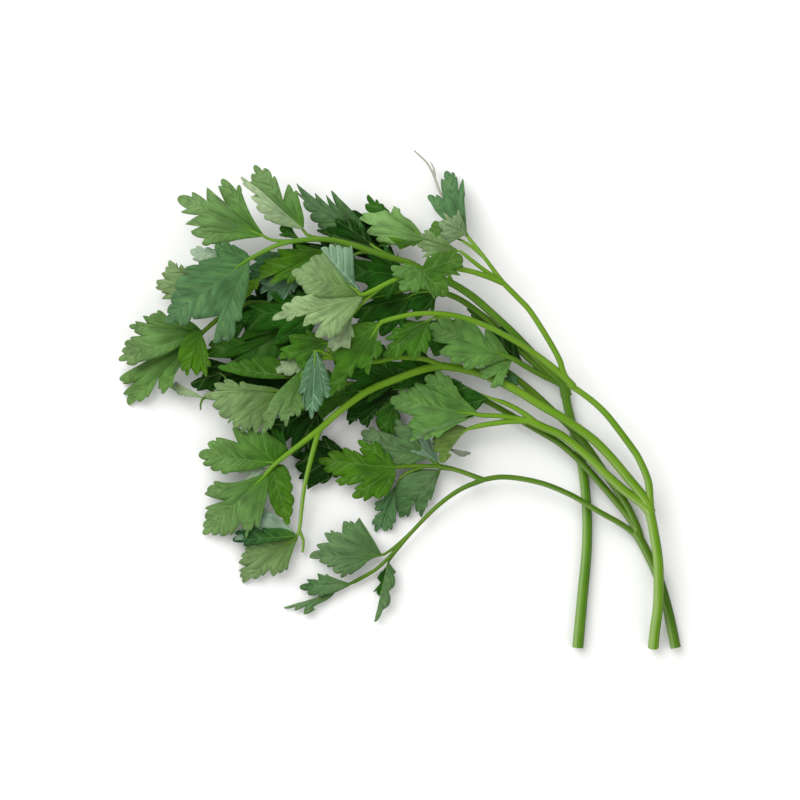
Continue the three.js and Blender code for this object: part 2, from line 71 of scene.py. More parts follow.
# The bunch is laid out on a square plan, seen from above. A place on the plan is
# counted in squares, rightwards and downwards from its top left corner, with its
# height over the table in mm.
PLAN_SQUARE = 0.4 * MM
PLAN_MIDDLE = 400
# Added to a length that is divided by, in case it is nothing.
NEARLY_NOTHING = 1e-12

# A leaflet has the point where its blade starts and a tip that gives its slope.
# `lobes` lists the teeth of each lobe, going round the rim, and `cuts` how deep the
# blade is cut between two lobes. `sides` are points that its toothless sides pass,
# at the start and the end of the round. `tone` names its green. A leaflet that is
# `turned` shows its underside, and one that is `veined` its palest veins. `notch`,
# `fold`, `arch` and `roll`, its sideways tilt in degrees, replace the usual values.
LEFT_LEAFLETS = [
    dict(base=(266, 238, 31), tip=(180, 201, 14), tone="fresh",
         lobes=[[(240, 186), (223, 180), (219, 187)], [(208, 188)], [(193, 192), (178, 198), (181, 213)],
                [(186, 225)], [(192, 232), (203, 245)]],
         cuts=[(230, 209), (208, 202), (200, 216), (204, 227)],
         sides=[[(253, 218), (245, 200)], [(240, 241), (222, 245)]]),
    dict(base=(304, 231, 31), tip=(255, 167, 20), tone="fresh",
         lobes=[[(297, 192), (289, 186)], [(276, 177), (265, 169), (255, 166), (252, 175), (250, 184)],
                [(253, 198)]],
         cuts=[(284, 204), (262, 194)],
         sides=[[(305, 222), (303, 212), (300, 201)], [(282, 219), (264, 206)]]),
    dict(base=(306, 232, 32), tip=(243, 182, 24), tone="pale", turned=1,
         lobes=[[(242, 178), (243, 185)], [(252, 198), (257, 208), (265, 219)]], cuts=[(262, 199)],
         sides=[[(282, 211), (262, 192)], [(297, 230), (278, 226)]]),
    dict(base=(251, 260, 29), tip=(171, 312, 20), tone="bluish", arch=34, notch=0.3,
         lobes=[[(234, 246), (225, 243), (216, 247)], [(200, 263), (186, 272), (176, 287), (172, 301),
                (168, 312), (166, 322), (181, 326), (196, 320)], [(214, 343), (229, 342), (241, 322)]],
         cuts=[(219, 258), (221, 316)], sides=[[(247, 253)], [(250, 285), (246, 302)]]),
    dict(base=(248, 259, 25), tip=(192, 254, 19), tone="misty", turned=1, notch=0.3,
         lobes=[[(206, 249), (197, 247), (191, 251), (193, 260)], [(186, 267), (190, 273), (198, 277)]],
         cuts=[(208, 264)]),
    dict(base=(372, 246, 24), tip=(298, 185, 9), tone="dusky", notch=0.3,
         lobes=[[(331, 191)], [(326, 195)], [(315, 193)], [(296, 183)],
                [(298, 193), (303, 203), (310, 217), (318, 226)]],
         cuts=[(338, 210), (336, 222), (322, 216), (307, 204)],
         sides=[[(365, 229), (357, 217), (345, 204)], [(355, 244), (340, 238)]]),
    dict(base=(380, 250, 24), tip=(336, 226, 21), tone="deep",
         lobes=[[(362, 228), (347, 219), (335, 220)], [(322, 228), (317, 231), (326, 240), (345, 247)]],
         cuts=[(338, 228)]),
    dict(base=(426, 240, 17), tip=(368, 196, 8), tone="light",
         lobes=[[(399, 208), (394, 206)], [(385, 210)], [(362, 213), (359, 219)], [(366, 233), (376, 240)]],
         cuts=[(391, 214), (374, 213), (372, 226)],
         sides=[[(420, 232), (411, 221), (401, 215)], [(410, 246), (392, 245)]]),
    dict(base=(400, 232, 11), tip=(370, 196, 7), tone="dark",
         lobes=[[(380, 203), (376, 199), (368, 194), (365, 204), (366, 214)]],
         sides=[[(390, 212)], [(376, 226)]]),
    dict(base=(424, 241, 17.6), tip=(385, 245, 15), tone="sunlit",
         lobes=[[(385, 238), (378, 247)], [(400, 250), (412, 247)]], cuts=[(395, 243)]),
    dict(base=(512, 358, 15.4), tip=(430, 331, 19), tone="leafy",
         lobes=[[(486, 328), (456, 317), (437, 318), (429, 326), (431, 334), (432, 341)],
                [(439, 352), (449, 361), (463, 368), (478, 369)]],
         cuts=[(449, 344)], sides=[[(505, 350), (497, 338)], [(500, 361), (490, 365)]]),
    dict(base=(512, 360, 14.6), tip=(487, 383, 16), tone="leafy", notch=0.2,
         lobes=[[(502, 387), (490, 387)], [(483, 380), (479, 371)]],
         sides=[[(508, 370), (504, 379)], [(498, 360)]]),
    dict(base=(330, 251, 27), tip=(259, 270, 22), tone="sunlit",
         lobes=[[(296, 246), (278, 250)], [(264, 261), (258, 271), (261, 280)],
                [(270, 284), (288, 285), (302, 276)]],
         cuts=[(282, 258), (278, 274)]),
    dict(base=(356, 256, 25), tip=(298, 262, 21), tone="deep",
         lobes=[[(330, 244), (310, 246)], [(294, 258), (294, 268)], [(308, 284), (328, 284)]],
         cuts=[(314, 254), (312, 271)]),
    dict(base=(298, 273, 21), tip=(266, 303, 15), tone="steel", veined=1,
         lobes=[[(259, 283), (261, 294)], [(268, 302), (275, 301)], [(284, 300), (294, 293)]],
         cuts=[(268, 291), (280, 295)], sides=[[(280, 274)], [(299, 284)]]),
    dict(base=(262, 277, 20), tip=(241, 304, 18), tone="bright", notch=0.25,
         lobes=[[(246, 283), (240, 292), (238, 304), (243, 305)], [(249, 297), (257, 290)]],
         cuts=[(247, 297)]),
    dict(base=(328, 304, 16), tip=(248, 318, 13), roll=-10, tone="dark",
         lobes=[[(296, 290), (270, 292)], [(248, 304), (240, 318), (247, 330)], [(274, 344), (304, 342)]],
         cuts=[(278, 304), (280, 328)]),
    dict(base=(412, 276, 18), tip=(350, 268, 19.5), tone="dark",
         lobes=[[(384, 246), (364, 249)], [(350, 260), (346, 270), (352, 280)], [(364, 296), (386, 300)]],
         cuts=[(372, 262), (370, 284)]),
    dict(base=(412, 296, 12.6), tip=(358, 318, 12), tone="dark",
         lobes=[[(384, 284), (362, 292)], [(350, 312), (356, 326)], [(380, 336), (402, 330)]],
         cuts=[(374, 300), (378, 320)]),
    dict(base=(470, 322, 12.5), tip=(414, 344, 13), tone="shaded",
         lobes=[[(434, 316), (416, 322)], [(404, 340), (410, 352)], [(434, 356), (452, 354)]],
         cuts=[(426, 331), (430, 347)]),
    dict(base=(438, 292, 12), tip=(396, 304, 12), tone="dark",
         lobes=[[(416, 276), (400, 282)], [(388, 304), (396, 316)], [(416, 320), (432, 314)]],
         cuts=[(412, 292), (412, 309)]),
    dict(base=(524, 364, 9), tip=(492, 334, 12), tone="deep",
         lobes=[[(512, 336), (500, 326), (488, 330), (490, 342), (502, 358)]]),
    dict(base=(352, 249, 9), tip=(262, 262, 7), tone="deep",
         lobes=[[(320, 240), (292, 240)], [(266, 252), (254, 268), (262, 284)], [(292, 296), (326, 290)]],
         cuts=[(294, 256), (290, 276)]),
    dict(base=(392, 257, 8), tip=(330, 218, 6), tone="deep",
         lobes=[[(372, 214), (352, 210)], [(336, 212), (330, 222), (336, 234)], [(350, 250), (376, 254)]],
         cuts=[(354, 222), (354, 238)]),
    dict(base=(402, 290, 8), tip=(386, 246, 6), tone="deep",
         lobes=[[(376, 274), (374, 258)], [(380, 246), (390, 244)], [(398, 252), (402, 266)]]),
    dict(base=(303, 243, 30), tip=(284, 229, 27), tone="dark",
         lobes=[[(288, 224), (281, 228), (280, 236)]]),
    dict(base=(284, 252, 21), tip=(249, 270, 18), tone="steel",
         lobes=[[(262, 252), (250, 258)], [(246, 270), (250, 282), (262, 284)]], cuts=[(258, 262)]),
    dict(base=(497, 331, 8.2), tip=(466, 309, 8.4), tone="ripe", notch=0.2,
         lobes=[[(487, 321), (478, 313), (467, 308), (471, 315), (480, 322)]]),
]

# The greens of a blade at its base and at its tips. The deep, dark and shaded greens,
# for leaflets low in the heap, are their own dark green darkened further with painted
# shade. Where a tip green is paler and greyer than its base green, that is partly the
# blade's own colour and partly painted sheen.
LEAF_GREENS = {
    "deep": ("#041D03", "#0A3206"),
    "dark": ("#103E04", "#1D5209"),
    "dusky": ("#1B4412", "#4A6B42"),
    "shaded": ("#1C4705", "#28580C"),
    "ripe": ("#2B5508", "#376710"),
    "mid": ("#346114", "#446B20"),
    "leafy": ("#4A752C", "#55803A"),
    "verdant": ("#3B6A12", "#34600E"),
    "light": ("#527A30", "#6D9450"),
    "steel": ("#355F33", "#3F6A42"),
    "fresh": ("#34650C", "#5F7E48"),
    "juicy": ("#2C5C00", "#5A7E3E"),
    "clouded": ("#7A9A7C", "#5F7F66"),
    "inky": ("#2C5A14", "#1B4527"),
    "slate": ("#527044", "#3C5F36"),
    "streaked": ("#2F5630", "#6C8C6A"),
    "soft": ("#4A692C", "#6C8654"),
    "pale": ("#66844B", "#869E6D"),
    "bluish": ("#3A6334", "#4B7148"),
    "misty": ("#6F8E6C", "#90A888"),
    "grey": ("#3E6133", "#59774C"),
    "sunlit": ("#305F01", "#3E6A06"),
    "bright": ("#4C7A00", "#5B8A06"),
    "olive": ("#526731", "#56722F"),
    "dried": ("#66675A", "#77796C"),
}

# Shape of the blade. FOLD and KEEL are how steeply it rises from its middle line and
# from each rib, both rounded off over a share of its length. RIPPLE is the height of
# its rim's ripples at the tip, and RIPPLES how many a full turn has. Each of WAVES has
# a height and the radians that it turns through in a length, along and across. ARCH
# is the bend from the base to the tip, in degrees. From one leaflet to the next the
# ripples are turned by the golden angle.
FOLD = 0.05
FOLD_ROUNDING = 0.01
KEEL = 0.14
KEEL_ROUNDING = 0.012
RIPPLE = 0.03
RIPPLES = 3
WAVES = ((0.016, 9, 8), (0.011, 17, 15))
ARCH = 24
GOLDEN_ANGLE = math.pi * (3 - math.sqrt(5))

# The blade is a thin sheet. Its ribs stand out below and are sunk above, over a share
# of the way to the rim, and lose most of that by the tip. It swells between its veins
# and its rim curls down, both in full where it is this wide from rib to rim.
BLADE_THICK = 0.32 * MM
RIB_RAISED = 0.45 * MM
RIB_SUNK = 0.06 * MM
RIB_REACH = 0.2
RIB_TAPER = 0.9
QUILT = 0.09 * MM
FULL_QUILT_WIDTH = 4 * MM
CURL = 0.5 * MM

# Side veins leave the rib forwards, each to a tooth. A notch lies close beyond a
# tooth and is cut to this share of the distance to the next. The far side of a
# tooth is short and nearly straight, and the near side of the next is full.
VEIN_SLANT = 1.15
NOTCH = 0.42
NOTCH_VARIES = (0.8, 1.25)
NOTCH_PLACE = 0.26
FAR_BULGE = 0.6
NEAR_BULGE = 0.85
CUT_BULGE = 0.15
SHOULDER_BULGE = 0.8
CUT_SHARE = 0.62
VEIN_SPACING = 4 * MM
# How far the side of a blade swells out at two places on its way from the base to
# its first tooth, where it has teeth and where it has none.
SIDE_PLACES = (0.4, 0.75)
TOOTHED_SIDE = np.array([-0.03, 0.03])
BARE_SIDE = np.array([0.07, 0.09])

# How finely a blade is drawn: places along a rib, places from rib to rim, rows on a
# bare side, rows on one side of a tooth and steps between two points of an edge.
# Corners within a fiftieth of a millimetre are one corner.
STATIONS = 36
ACROSS = np.array([0, 0.08, 0.25, 0.5, 0.76, 1.0])
SIDE_ROWS = 8
LEG_ROWS = 5
EDGE_STEPS = 8
WELDS_PER_MM = 50

# The green changes from the base's to the tips' between these shares of the length.
BASE_GREEN_ENDS = 0.08
TIP_GREEN_STARTS = 0.88
# A rim face lies between two veins, at the rim and far from the rib.
RIM_ON_MAPS = (0.5, 1, 5, 20)
# The numbers of a blade's skins, in the order of its materials.
UPPER, UNDER, VEINED = range(3)


def on_plan(right, down):
    """A place of the plan, in metres to the right of its middle and behind it."""
    return np.array([right - PLAN_MIDDLE, PLAN_MIDDLE - down]) * PLAN_SQUARE


def placed(right, down, height=0.0):
    """A place of the plan with its height over the table."""
    return np.append(on_plan(right, down), height * MM)


def unit(vector):
    """The vector at length 1, or nearly nothing where it has no length."""
    return vector / (np.linalg.norm(vector) + NEARLY_NOTHING)


def linear(hex_colour):
    """An sRGB hex colour as linear red, green, blue and a full alpha."""
    values = [int(hex_colour[i:i + 2], 16) / 255 for i in (1, 3, 5)]
    return [v / 12.92 if v <= 0.04045 else ((v + 0.055) / 1.055) ** 2.4 for v in values] + [1.0]


def through(points, steps):
    """A smooth line through the points, with this many steps between two of them."""
    points = np.array(points, float)
    padded = np.vstack([2 * points[0] - points[1], points, 2 * points[-1] - points[-2]])
    t = np.linspace(0, 1, steps, endpoint=False)[:, None]
    spans = []
    for a, b, c, d in zip(padded, padded[1:], padded[2:], padded[3:]):
        square = (a - 2.5 * b + 2 * c - d / 2) * t**2
        spans.append(b + (c - a) / 2 * t + square + (1.5 * (b - c) + (d - a) / 2) * t**3)
    return np.vstack(spans + [points[-1:]])


def spread_evenly(line, count):
    """The line again, with this many points at even distances along it."""
    lengths = np.concatenate([[0], np.cumsum(np.linalg.norm(np.diff(line, axis=0), axis=1))])
    wanted = np.linspace(0, lengths[-1], count)
    return np.stack([np.interp(wanted, lengths, axis) for axis in line.T], axis=1)


def length_of(line):
    """How long the line is."""
    return np.linalg.norm(np.diff(line, axis=0), axis=1).sum()


def cross(a, b):
    """How far b turns left of a: the third measure of their cross product."""
    return a[..., 0] * b[..., 1] - a[..., 1] * b[..., 0]


def tooth_side(notch, tip, axis, bulge):
    """The edge of a tooth from its notch to just before its tip, bulging along its axis."""
    square = notch + (tip - notch) @ axis * axis
    knee = square * bulge + (notch + tip) / 2 * (1 - bulge)
    t = np.linspace(0, 1, LEG_ROWS + 1)[:, None]
    return notch * (1 - t)**2 + knee * 2 * t * (1 - t) + tip * t**2


def half_lobe(rib, side, teeth, cut, by_way_of, depth, dice):
    """One side of a lobe, in rows from its base to its tip: the share of the rib where
    each row starts, the two measures of where it meets the rim, and its vein count."""
    reach = np.linalg.norm(rib)
    ahead = rib / reach
    out = side * np.array([-ahead[1], ahead[0]])

    def leaves_rib(spot):
        return float(np.clip((spot @ ahead - VEIN_SLANT * max(0, spot @ out)) / reach, 0, 1))

    tips = teeth + [rib]
    axes = [unit(tip - leaves_rib(tip) * rib) for tip in teeth] + [ahead]
    if cut is None:
        if not by_way_of:
            bulge = (TOOTHED_SIDE if teeth else BARE_SIDE) * np.linalg.norm(tips[0])
            by_way_of = [tips[0] * share + out * swell for share, swell in zip(SIDE_PLACES, bulge)]
        line = through([np.zeros(2)] + by_way_of + [tips[0]], EDGE_STEPS)
        line = spread_evenly(line, SIDE_ROWS)
        shoulder = tooth_side(line[-2], tips[0], axes[0], SHOULDER_BULGE)
        rim = [line[:-2], shoulder[:-1]]
        counts = [1 - np.linspace(length_of(line) / VEIN_SPACING, 0.5, SIDE_ROWS - 1)[:-1]]
        counts.append(np.linspace(0.5, 1, LEG_ROWS, endpoint=False))
    else:
        rim = [tooth_side(cut, tips[0], axes[0], CUT_BULGE)[:-1]]
        counts = [np.linspace(0.5, 1, LEG_ROWS, endpoint=False)]
    for number, (tip, after) in enumerate(zip(tips, tips[1:])):
        gap = np.linalg.norm(after - tip)
        deep = depth * gap * dice.uniform(*NOTCH_VARIES)
        notch = tip + (after - tip) * NOTCH_PLACE - deep * unit(axes[number] + axes[number + 1])
        rim.append(tooth_side(notch, tip, axes[number], FAR_BULGE)[:0:-1])
        rim.append(tooth_side(notch, after, axes[number + 1], NEAR_BULGE)[:-1])
        counts.append(number + 1 + np.arange(2 * LEG_ROWS) / 2 / LEG_ROWS)
    rim = np.vstack(rim + [rib])
    counts = np.concatenate(counts + [[len(tips)]])
    for blunted in np.flatnonzero(np.isin(counts, np.arange(1, len(tips)))):
        rim[blunted] = rim[blunted] / 2 + (rim[blunted - 1] + rim[blunted + 1]) / 4
    feet = [leaves_rib(spot) for spot in rim]
    feet = np.maximum.accumulate(np.round(np.array(feet) * STATIONS) / STATIONS)
    feet[0], feet[-1] = 0, 1
    return np.column_stack([feet, rim, counts])


def with_feet(rows, feet):
    """The rows and, between them, one more for each rib station that they leave out."""
    left_out = [foot for foot in feet if foot not in rows[:, 0]]
    if not left_out:
        return rows
    more = np.stack([np.interp(left_out, rows[:, 0], column) for column in rows.T], axis=1)
    numbers = np.arange(len(rows))
    order = np.concatenate([numbers, np.interp(left_out, rows[:, 0], numbers)])
    return np.vstack([rows, more])[np.argsort(order, kind="stable")]


def lobes_of(leaf):
    """The teeth of a leaflet's lobes, the cuts between them and the points of its two
    sides, as seen from its base and in order anticlockwise."""
    base = placed(*leaf["base"])[:2]
    lobes = [[on_plan(*tooth) - base for tooth in lobe] for lobe in leaf["lobes"]]
    cuts = [on_plan(*cut) - base for cut in leaf.get("cuts", [])]
    sides = [[on_plan(*spot) - base for spot in line] for line in leaf.get("sides", [[], []])]
    if not cuts:
        cuts = [(one[-1] + two[0]) / 2 * CUT_SHARE for one, two in zip(lobes, lobes[1:])]
    round_rim = [tooth for lobe in lobes for tooth in lobe]
    if sum(cross(one, two) for one, two in zip(round_rim, round_rim[1:])) < 0:
        lobes = [lobe[::-1] for lobe in lobes[::-1]]
        cuts.reverse()
        sides.reverse()
    return lobes, cuts, sides


def add_half_lobe(blade, rib, side, rows):
    """Adds one side of a lobe to a flat blade, as a grid of faces from its rib to its rim."""
    foot, rim, veins = rows[:, 0], rows[:, 1:3], rows[:, 3]
    grid = np.zeros((len(rows), len(ACROSS)), int)
    maps = np.zeros((len(rows), len(ACROSS), 4))
    width = np.linalg.norm(rim - foot[:, None] * rib, axis=1)
    length = foot * np.linalg.norm(rib)
    for column, t in enumerate(ACROSS):
        spots = foot[:, None] * rib * (1 - t) + rim * t
        puff = QUILT * np.cos(2 * math.pi * (veins + 0.5)) * 4 * t * (1 - t) - CURL * t**3
        puff *= np.minimum(1, width / FULL_QUILT_WIDTH)
        ribbed = max(0, 1 - t / RIB_REACH)**2 * (1 - RIB_TAPER * foot)
        for row, spot in enumerate(spots):
            name = tuple(round(part / MM * WELDS_PER_MM) for part in spot)
            if name not in blade["names"]:
                blade["names"][name] = len(blade["flat"])
                blade["flat"].append(spot)
                blade["quilt"].append(puff[row])
                blade["ribbed"].append(ribbed[row])
            grid[row, column] = blade["names"][name]
        shares = np.full(len(rows), t)
        maps[:, column] = np.stack([veins, shares, t * width / MM, length / MM], axis=1)
    for row in range(len(rows) - 1):
        for column in range(len(ACROSS) - 1):
            spots = [(row, column), (row + 1, column), (row + 1, column + 1), (row, column + 1)]
            if side < 0:
                spots.reverse()
            corners = {}
            for spot in spots:
                corners.setdefault(grid[spot], maps[spot])
            if len(corners) > 2:
                blade["faces"].append(list(corners))
                blade["maps"].append(list(corners.values()))


def height_on(leaf, along, out):
    """The height of a leaflet's arched middle, in shares of its length along and across."""
    base, tip = placed(*leaf["base"]), placed(*leaf["tip"])
    span = np.linalg.norm((tip - base)[:2])
    slope = (tip - base)[2] / span * along + math.tan(math.radians(leaf.get("roll", 0))) * out
    sag = math.tan(math.radians(leaf.get("arch", ARCH)) / 4) / 2
    return base[2] + span * (slope + sag * 4 * along * (1 - along))


def rib_point(leaf, share):
    """The point of a leaflet's middle line at this share of its length."""
    base, tip = placed(*leaf["base"]), placed(*leaf["tip"])
    return np.append((base + (tip - base) * share)[:2], height_on(leaf, share, 0))


def add_leaflet(sheet, leaf, index, dice):
    """Adds one leaflet to a frond's sheet of blades: two faces and the rim between them."""
    lobes, cuts, sides = lobes_of(leaf)
    depth = leaf.get("notch", NOTCH)
    blade = dict(flat=[], quilt=[], ribbed=[], faces=[], maps=[], names={})
    ribs = []
    for number, lobe in enumerate(lobes):
        longest = int(np.argmax([np.linalg.norm(tooth) for tooth in lobe]))
        rib = lobe[longest]
        ribs.append(rib)
        before = cuts[number - 1] if number else None
        after = cuts[number] if number < len(cuts) else None
        halves = {
            -1: half_lobe(rib, -1, lobe[:longest], before, sides[0], depth, dice),
            1: half_lobe(rib, 1, lobe[:longest:-1], after, sides[1], depth, dice),
        }
        feet = sorted(set(halves[-1][:, 0]) | set(halves[1][:, 0]))
        for side, rows in halves.items():
            add_half_lobe(blade, rib, side, with_feet(rows, feet))

    # The flat blade is lifted to its place, folded, rippled and arched.
    flat = np.array(blade["flat"])
    base, tip = placed(*leaf["base"]), placed(*leaf["tip"])
    main = (tip - base)[:2]
    span = np.linalg.norm(main)
    along, out = flat @ main / span**2, cross(main, flat) / span**2
    reach = np.hypot(along, out)
    off_ribs = [np.hypot(cross(unit(rib), flat) / span, KEEL_ROUNDING) for rib in ribs]
    rise = leaf.get("fold", FOLD) * np.hypot(out, FOLD_ROUNDING) + KEEL * np.min(off_ribs, axis=0)
    rise += RIPPLE * reach**2 * np.cos(RIPPLES * np.arctan2(out, along) + GOLDEN_ANGLE * index)
    starts = dice.uniform(0, 2 * math.pi, (len(WAVES), 2))
    for (height, lengthwise, crosswise), (one, two) in zip(WAVES, starts):
        rise += height * reach * np.sin(lengthwise * along + one) * np.sin(crosswise * out + two)
    height = height_on(leaf, along, out) + rise * span + np.array(blade["quilt"])
    middle = np.column_stack([flat + base[:2], height])

    # Both faces lie half the blade's thickness off its middle.
    normals = np.zeros_like(middle)
    edges = {}
    for face in blade["faces"]:
        ring = middle[face]
        facing = np.cross(ring[1] - ring[0], ring[2] - ring[0])
        facing += np.cross(ring[2] - ring[0], ring[-1] - ring[0])
        normals[face] += facing
        edges.update(dict.fromkeys(zip(face, face[1:] + face[:1])))
    normals /= np.linalg.norm(normals, axis=1)[:, None] + NEARLY_NOTHING
    ribbed = np.array(blade["ribbed"])[:, None]
    top = middle + normals * (BLADE_THICK / 2 - ribbed * RIB_SUNK)
    bottom = middle - normals * (BLADE_THICK / 2 + ribbed * RIB_RAISED)
    start, count = len(sheet["points"]), len(middle)
    sheet["points"].extend(top.tolist() + bottom.tolist())
    # The green runs from the base's to the tips', with the painted shade and sheen that its tone holds.
    near, far = (np.array(linear(tone)) for tone in LEAF_GREENS[leaf["tone"]])
    blend = np.interp(reach, (BASE_GREEN_ENDS, TIP_GREEN_STARTS), (0, 1))[:, None]
    sheet["greens"].extend((near * (1 - blend) + far * blend).tolist() * 2)
    skins = [VEINED if leaf.get("veined") else UPPER, UNDER]
    if leaf.get("turned"):
        skins = [UNDER, UPPER]
    for face, spots in zip(blade["faces"], blade["maps"]):
        sheet["faces"].append([start + corner for corner in face])
        sheet["faces"].append([start + count + corner for corner in reversed(face)])
        sheet["maps"].extend(spots + spots[::-1])
        sheet["skins"] += skins
        sheet["smooth"] += [True, True]
    for a, b in edges:
        if (b, a) not in edges:
            sheet["faces"].append([start + b, start + a, start + count + a, start + count + b])
            sheet["maps"].extend([np.array(RIM_ON_MAPS)] * 4)
            sheet["skins"].append(skins[0])
            sheet["smooth"].append(False)


def blades(name, leaflets, materials, seed):
    """A frond's leaflets as one mesh, with the maps and greens its materials read."""
    sheet = dict(points=[], faces=[], maps=[], skins=[], smooth=[], greens=[])
    for index, leaf in enumerate(leaflets):
        add_leaflet(sheet, leaf, index, np.random.default_rng([seed, index]))
    mesh = bpy.data.meshes.new(name)
    mesh.from_pydata(sheet["points"], [], sheet["faces"])
    maps = np.array(sheet["maps"])
    mesh.uv_layers.new(name="veins").data.foreach_set("uv", maps[:, :2].ravel())
    mesh.uv_layers.new(name="off_rib").data.foreach_set("uv", maps[:, 2:].ravel())
    greens = mesh.attributes.new("leaf_green", "FLOAT_COLOR", "POINT")
    greens.data.foreach_set("color", np.array(sheet["greens"]).ravel())
    for material in materials:
        mesh.materials.append(material)
    mesh.polygons.foreach_set("material_index", sheet["skins"])
    mesh.polygons.foreach_set("use_smooth", sheet["smooth"])
    mesh.update()
    piece = bpy.data.objects.new(name, mesh)
    scene.collection.objects.link(piece)
    return piece


def node(tree, kind, inputs=(), **settings):
    """Adds a node with its settings, and gives its inputs their values or links. A node
    given as an input stands for its first output."""
    made = tree.nodes.new(kind)
    for name, value in settings.items():
        setattr(made, name, value)
    for name, value in dict(inputs).items():
        if isinstance(value, bpy.types.Node):
            value = value.outputs[0]
        if isinstance(value, bpy.types.NodeSocket):
            tree.links.new(value, made.inputs[name])
        else:
            made.inputs[name].default_value = value
    return made


# How many octaves a noise has, where its finest parts show and where they don't.
FINE_DETAIL = 3.0
PLAIN_DETAIL = 2.0


def bare_material(name):
    """A material whose node tree is still empty."""
    material = bpy.data.materials.new(name)
    material.use_nodes = True
    material.node_tree.nodes.clear()
    return material


# The veins as they are drawn. A rib narrows over this many mm from its foot, and its
# half widths are in mm. A side vein narrows from rib to rim, and finer ones run beside
# it: their half widths are in shares of the room between two side veins. The net of
# the finest veins has meshes of about 0.9 mm. A side vein and the net show by a share
# of what a rib does, and a finer vein by a share of what a side vein does.
RIB_HALF_WIDTHS = (0.5, 0.2)
RIB_NARROWS = 30
SIDE_VEIN_HALF_WIDTHS = (0.22, 0.05)
SIDE_VEIN_SHOWS = 0.6
FINE_VEINS = 4
FINE_VEIN_HALF_WIDTH = 0.3
FINE_VEIN_SHOWS = 0.35
NET_MESH = 0.909 * MM
NET_LINE = 0.16
NET_SHOWS = 0.22
VEIN_RELIEF = 0.2 * MM

# The green has streaks, so many to each side vein and so many from rib to rim, and
# clouds from 9 mm down to 1 mm across. Between them they make it darker and lighter;
# the clouds are partly the blade's own mottling and partly painted sheen.
STREAKS = (7.0, 2.2, 1.0)
CLOUD = 9.09 * MM
CLOUD_ROUGHNESS = 0.6
CLOUDED = (0.72, 1.28)
CLOUD_TONES = (0.66, 1.34)

# The wax is rougher in some patches than in others. The dark leaflets, deep in the
# heap, have the least shine, as painted shade on their reflections, and those with
# this much green in them have all of it.
WAX_PATCH = 3.846 * MM
WAX_VARIES = (-0.08, 0.1)
SHINE_BY_GREEN = (0.02, 0.25)
WAX_IOR = 1.45


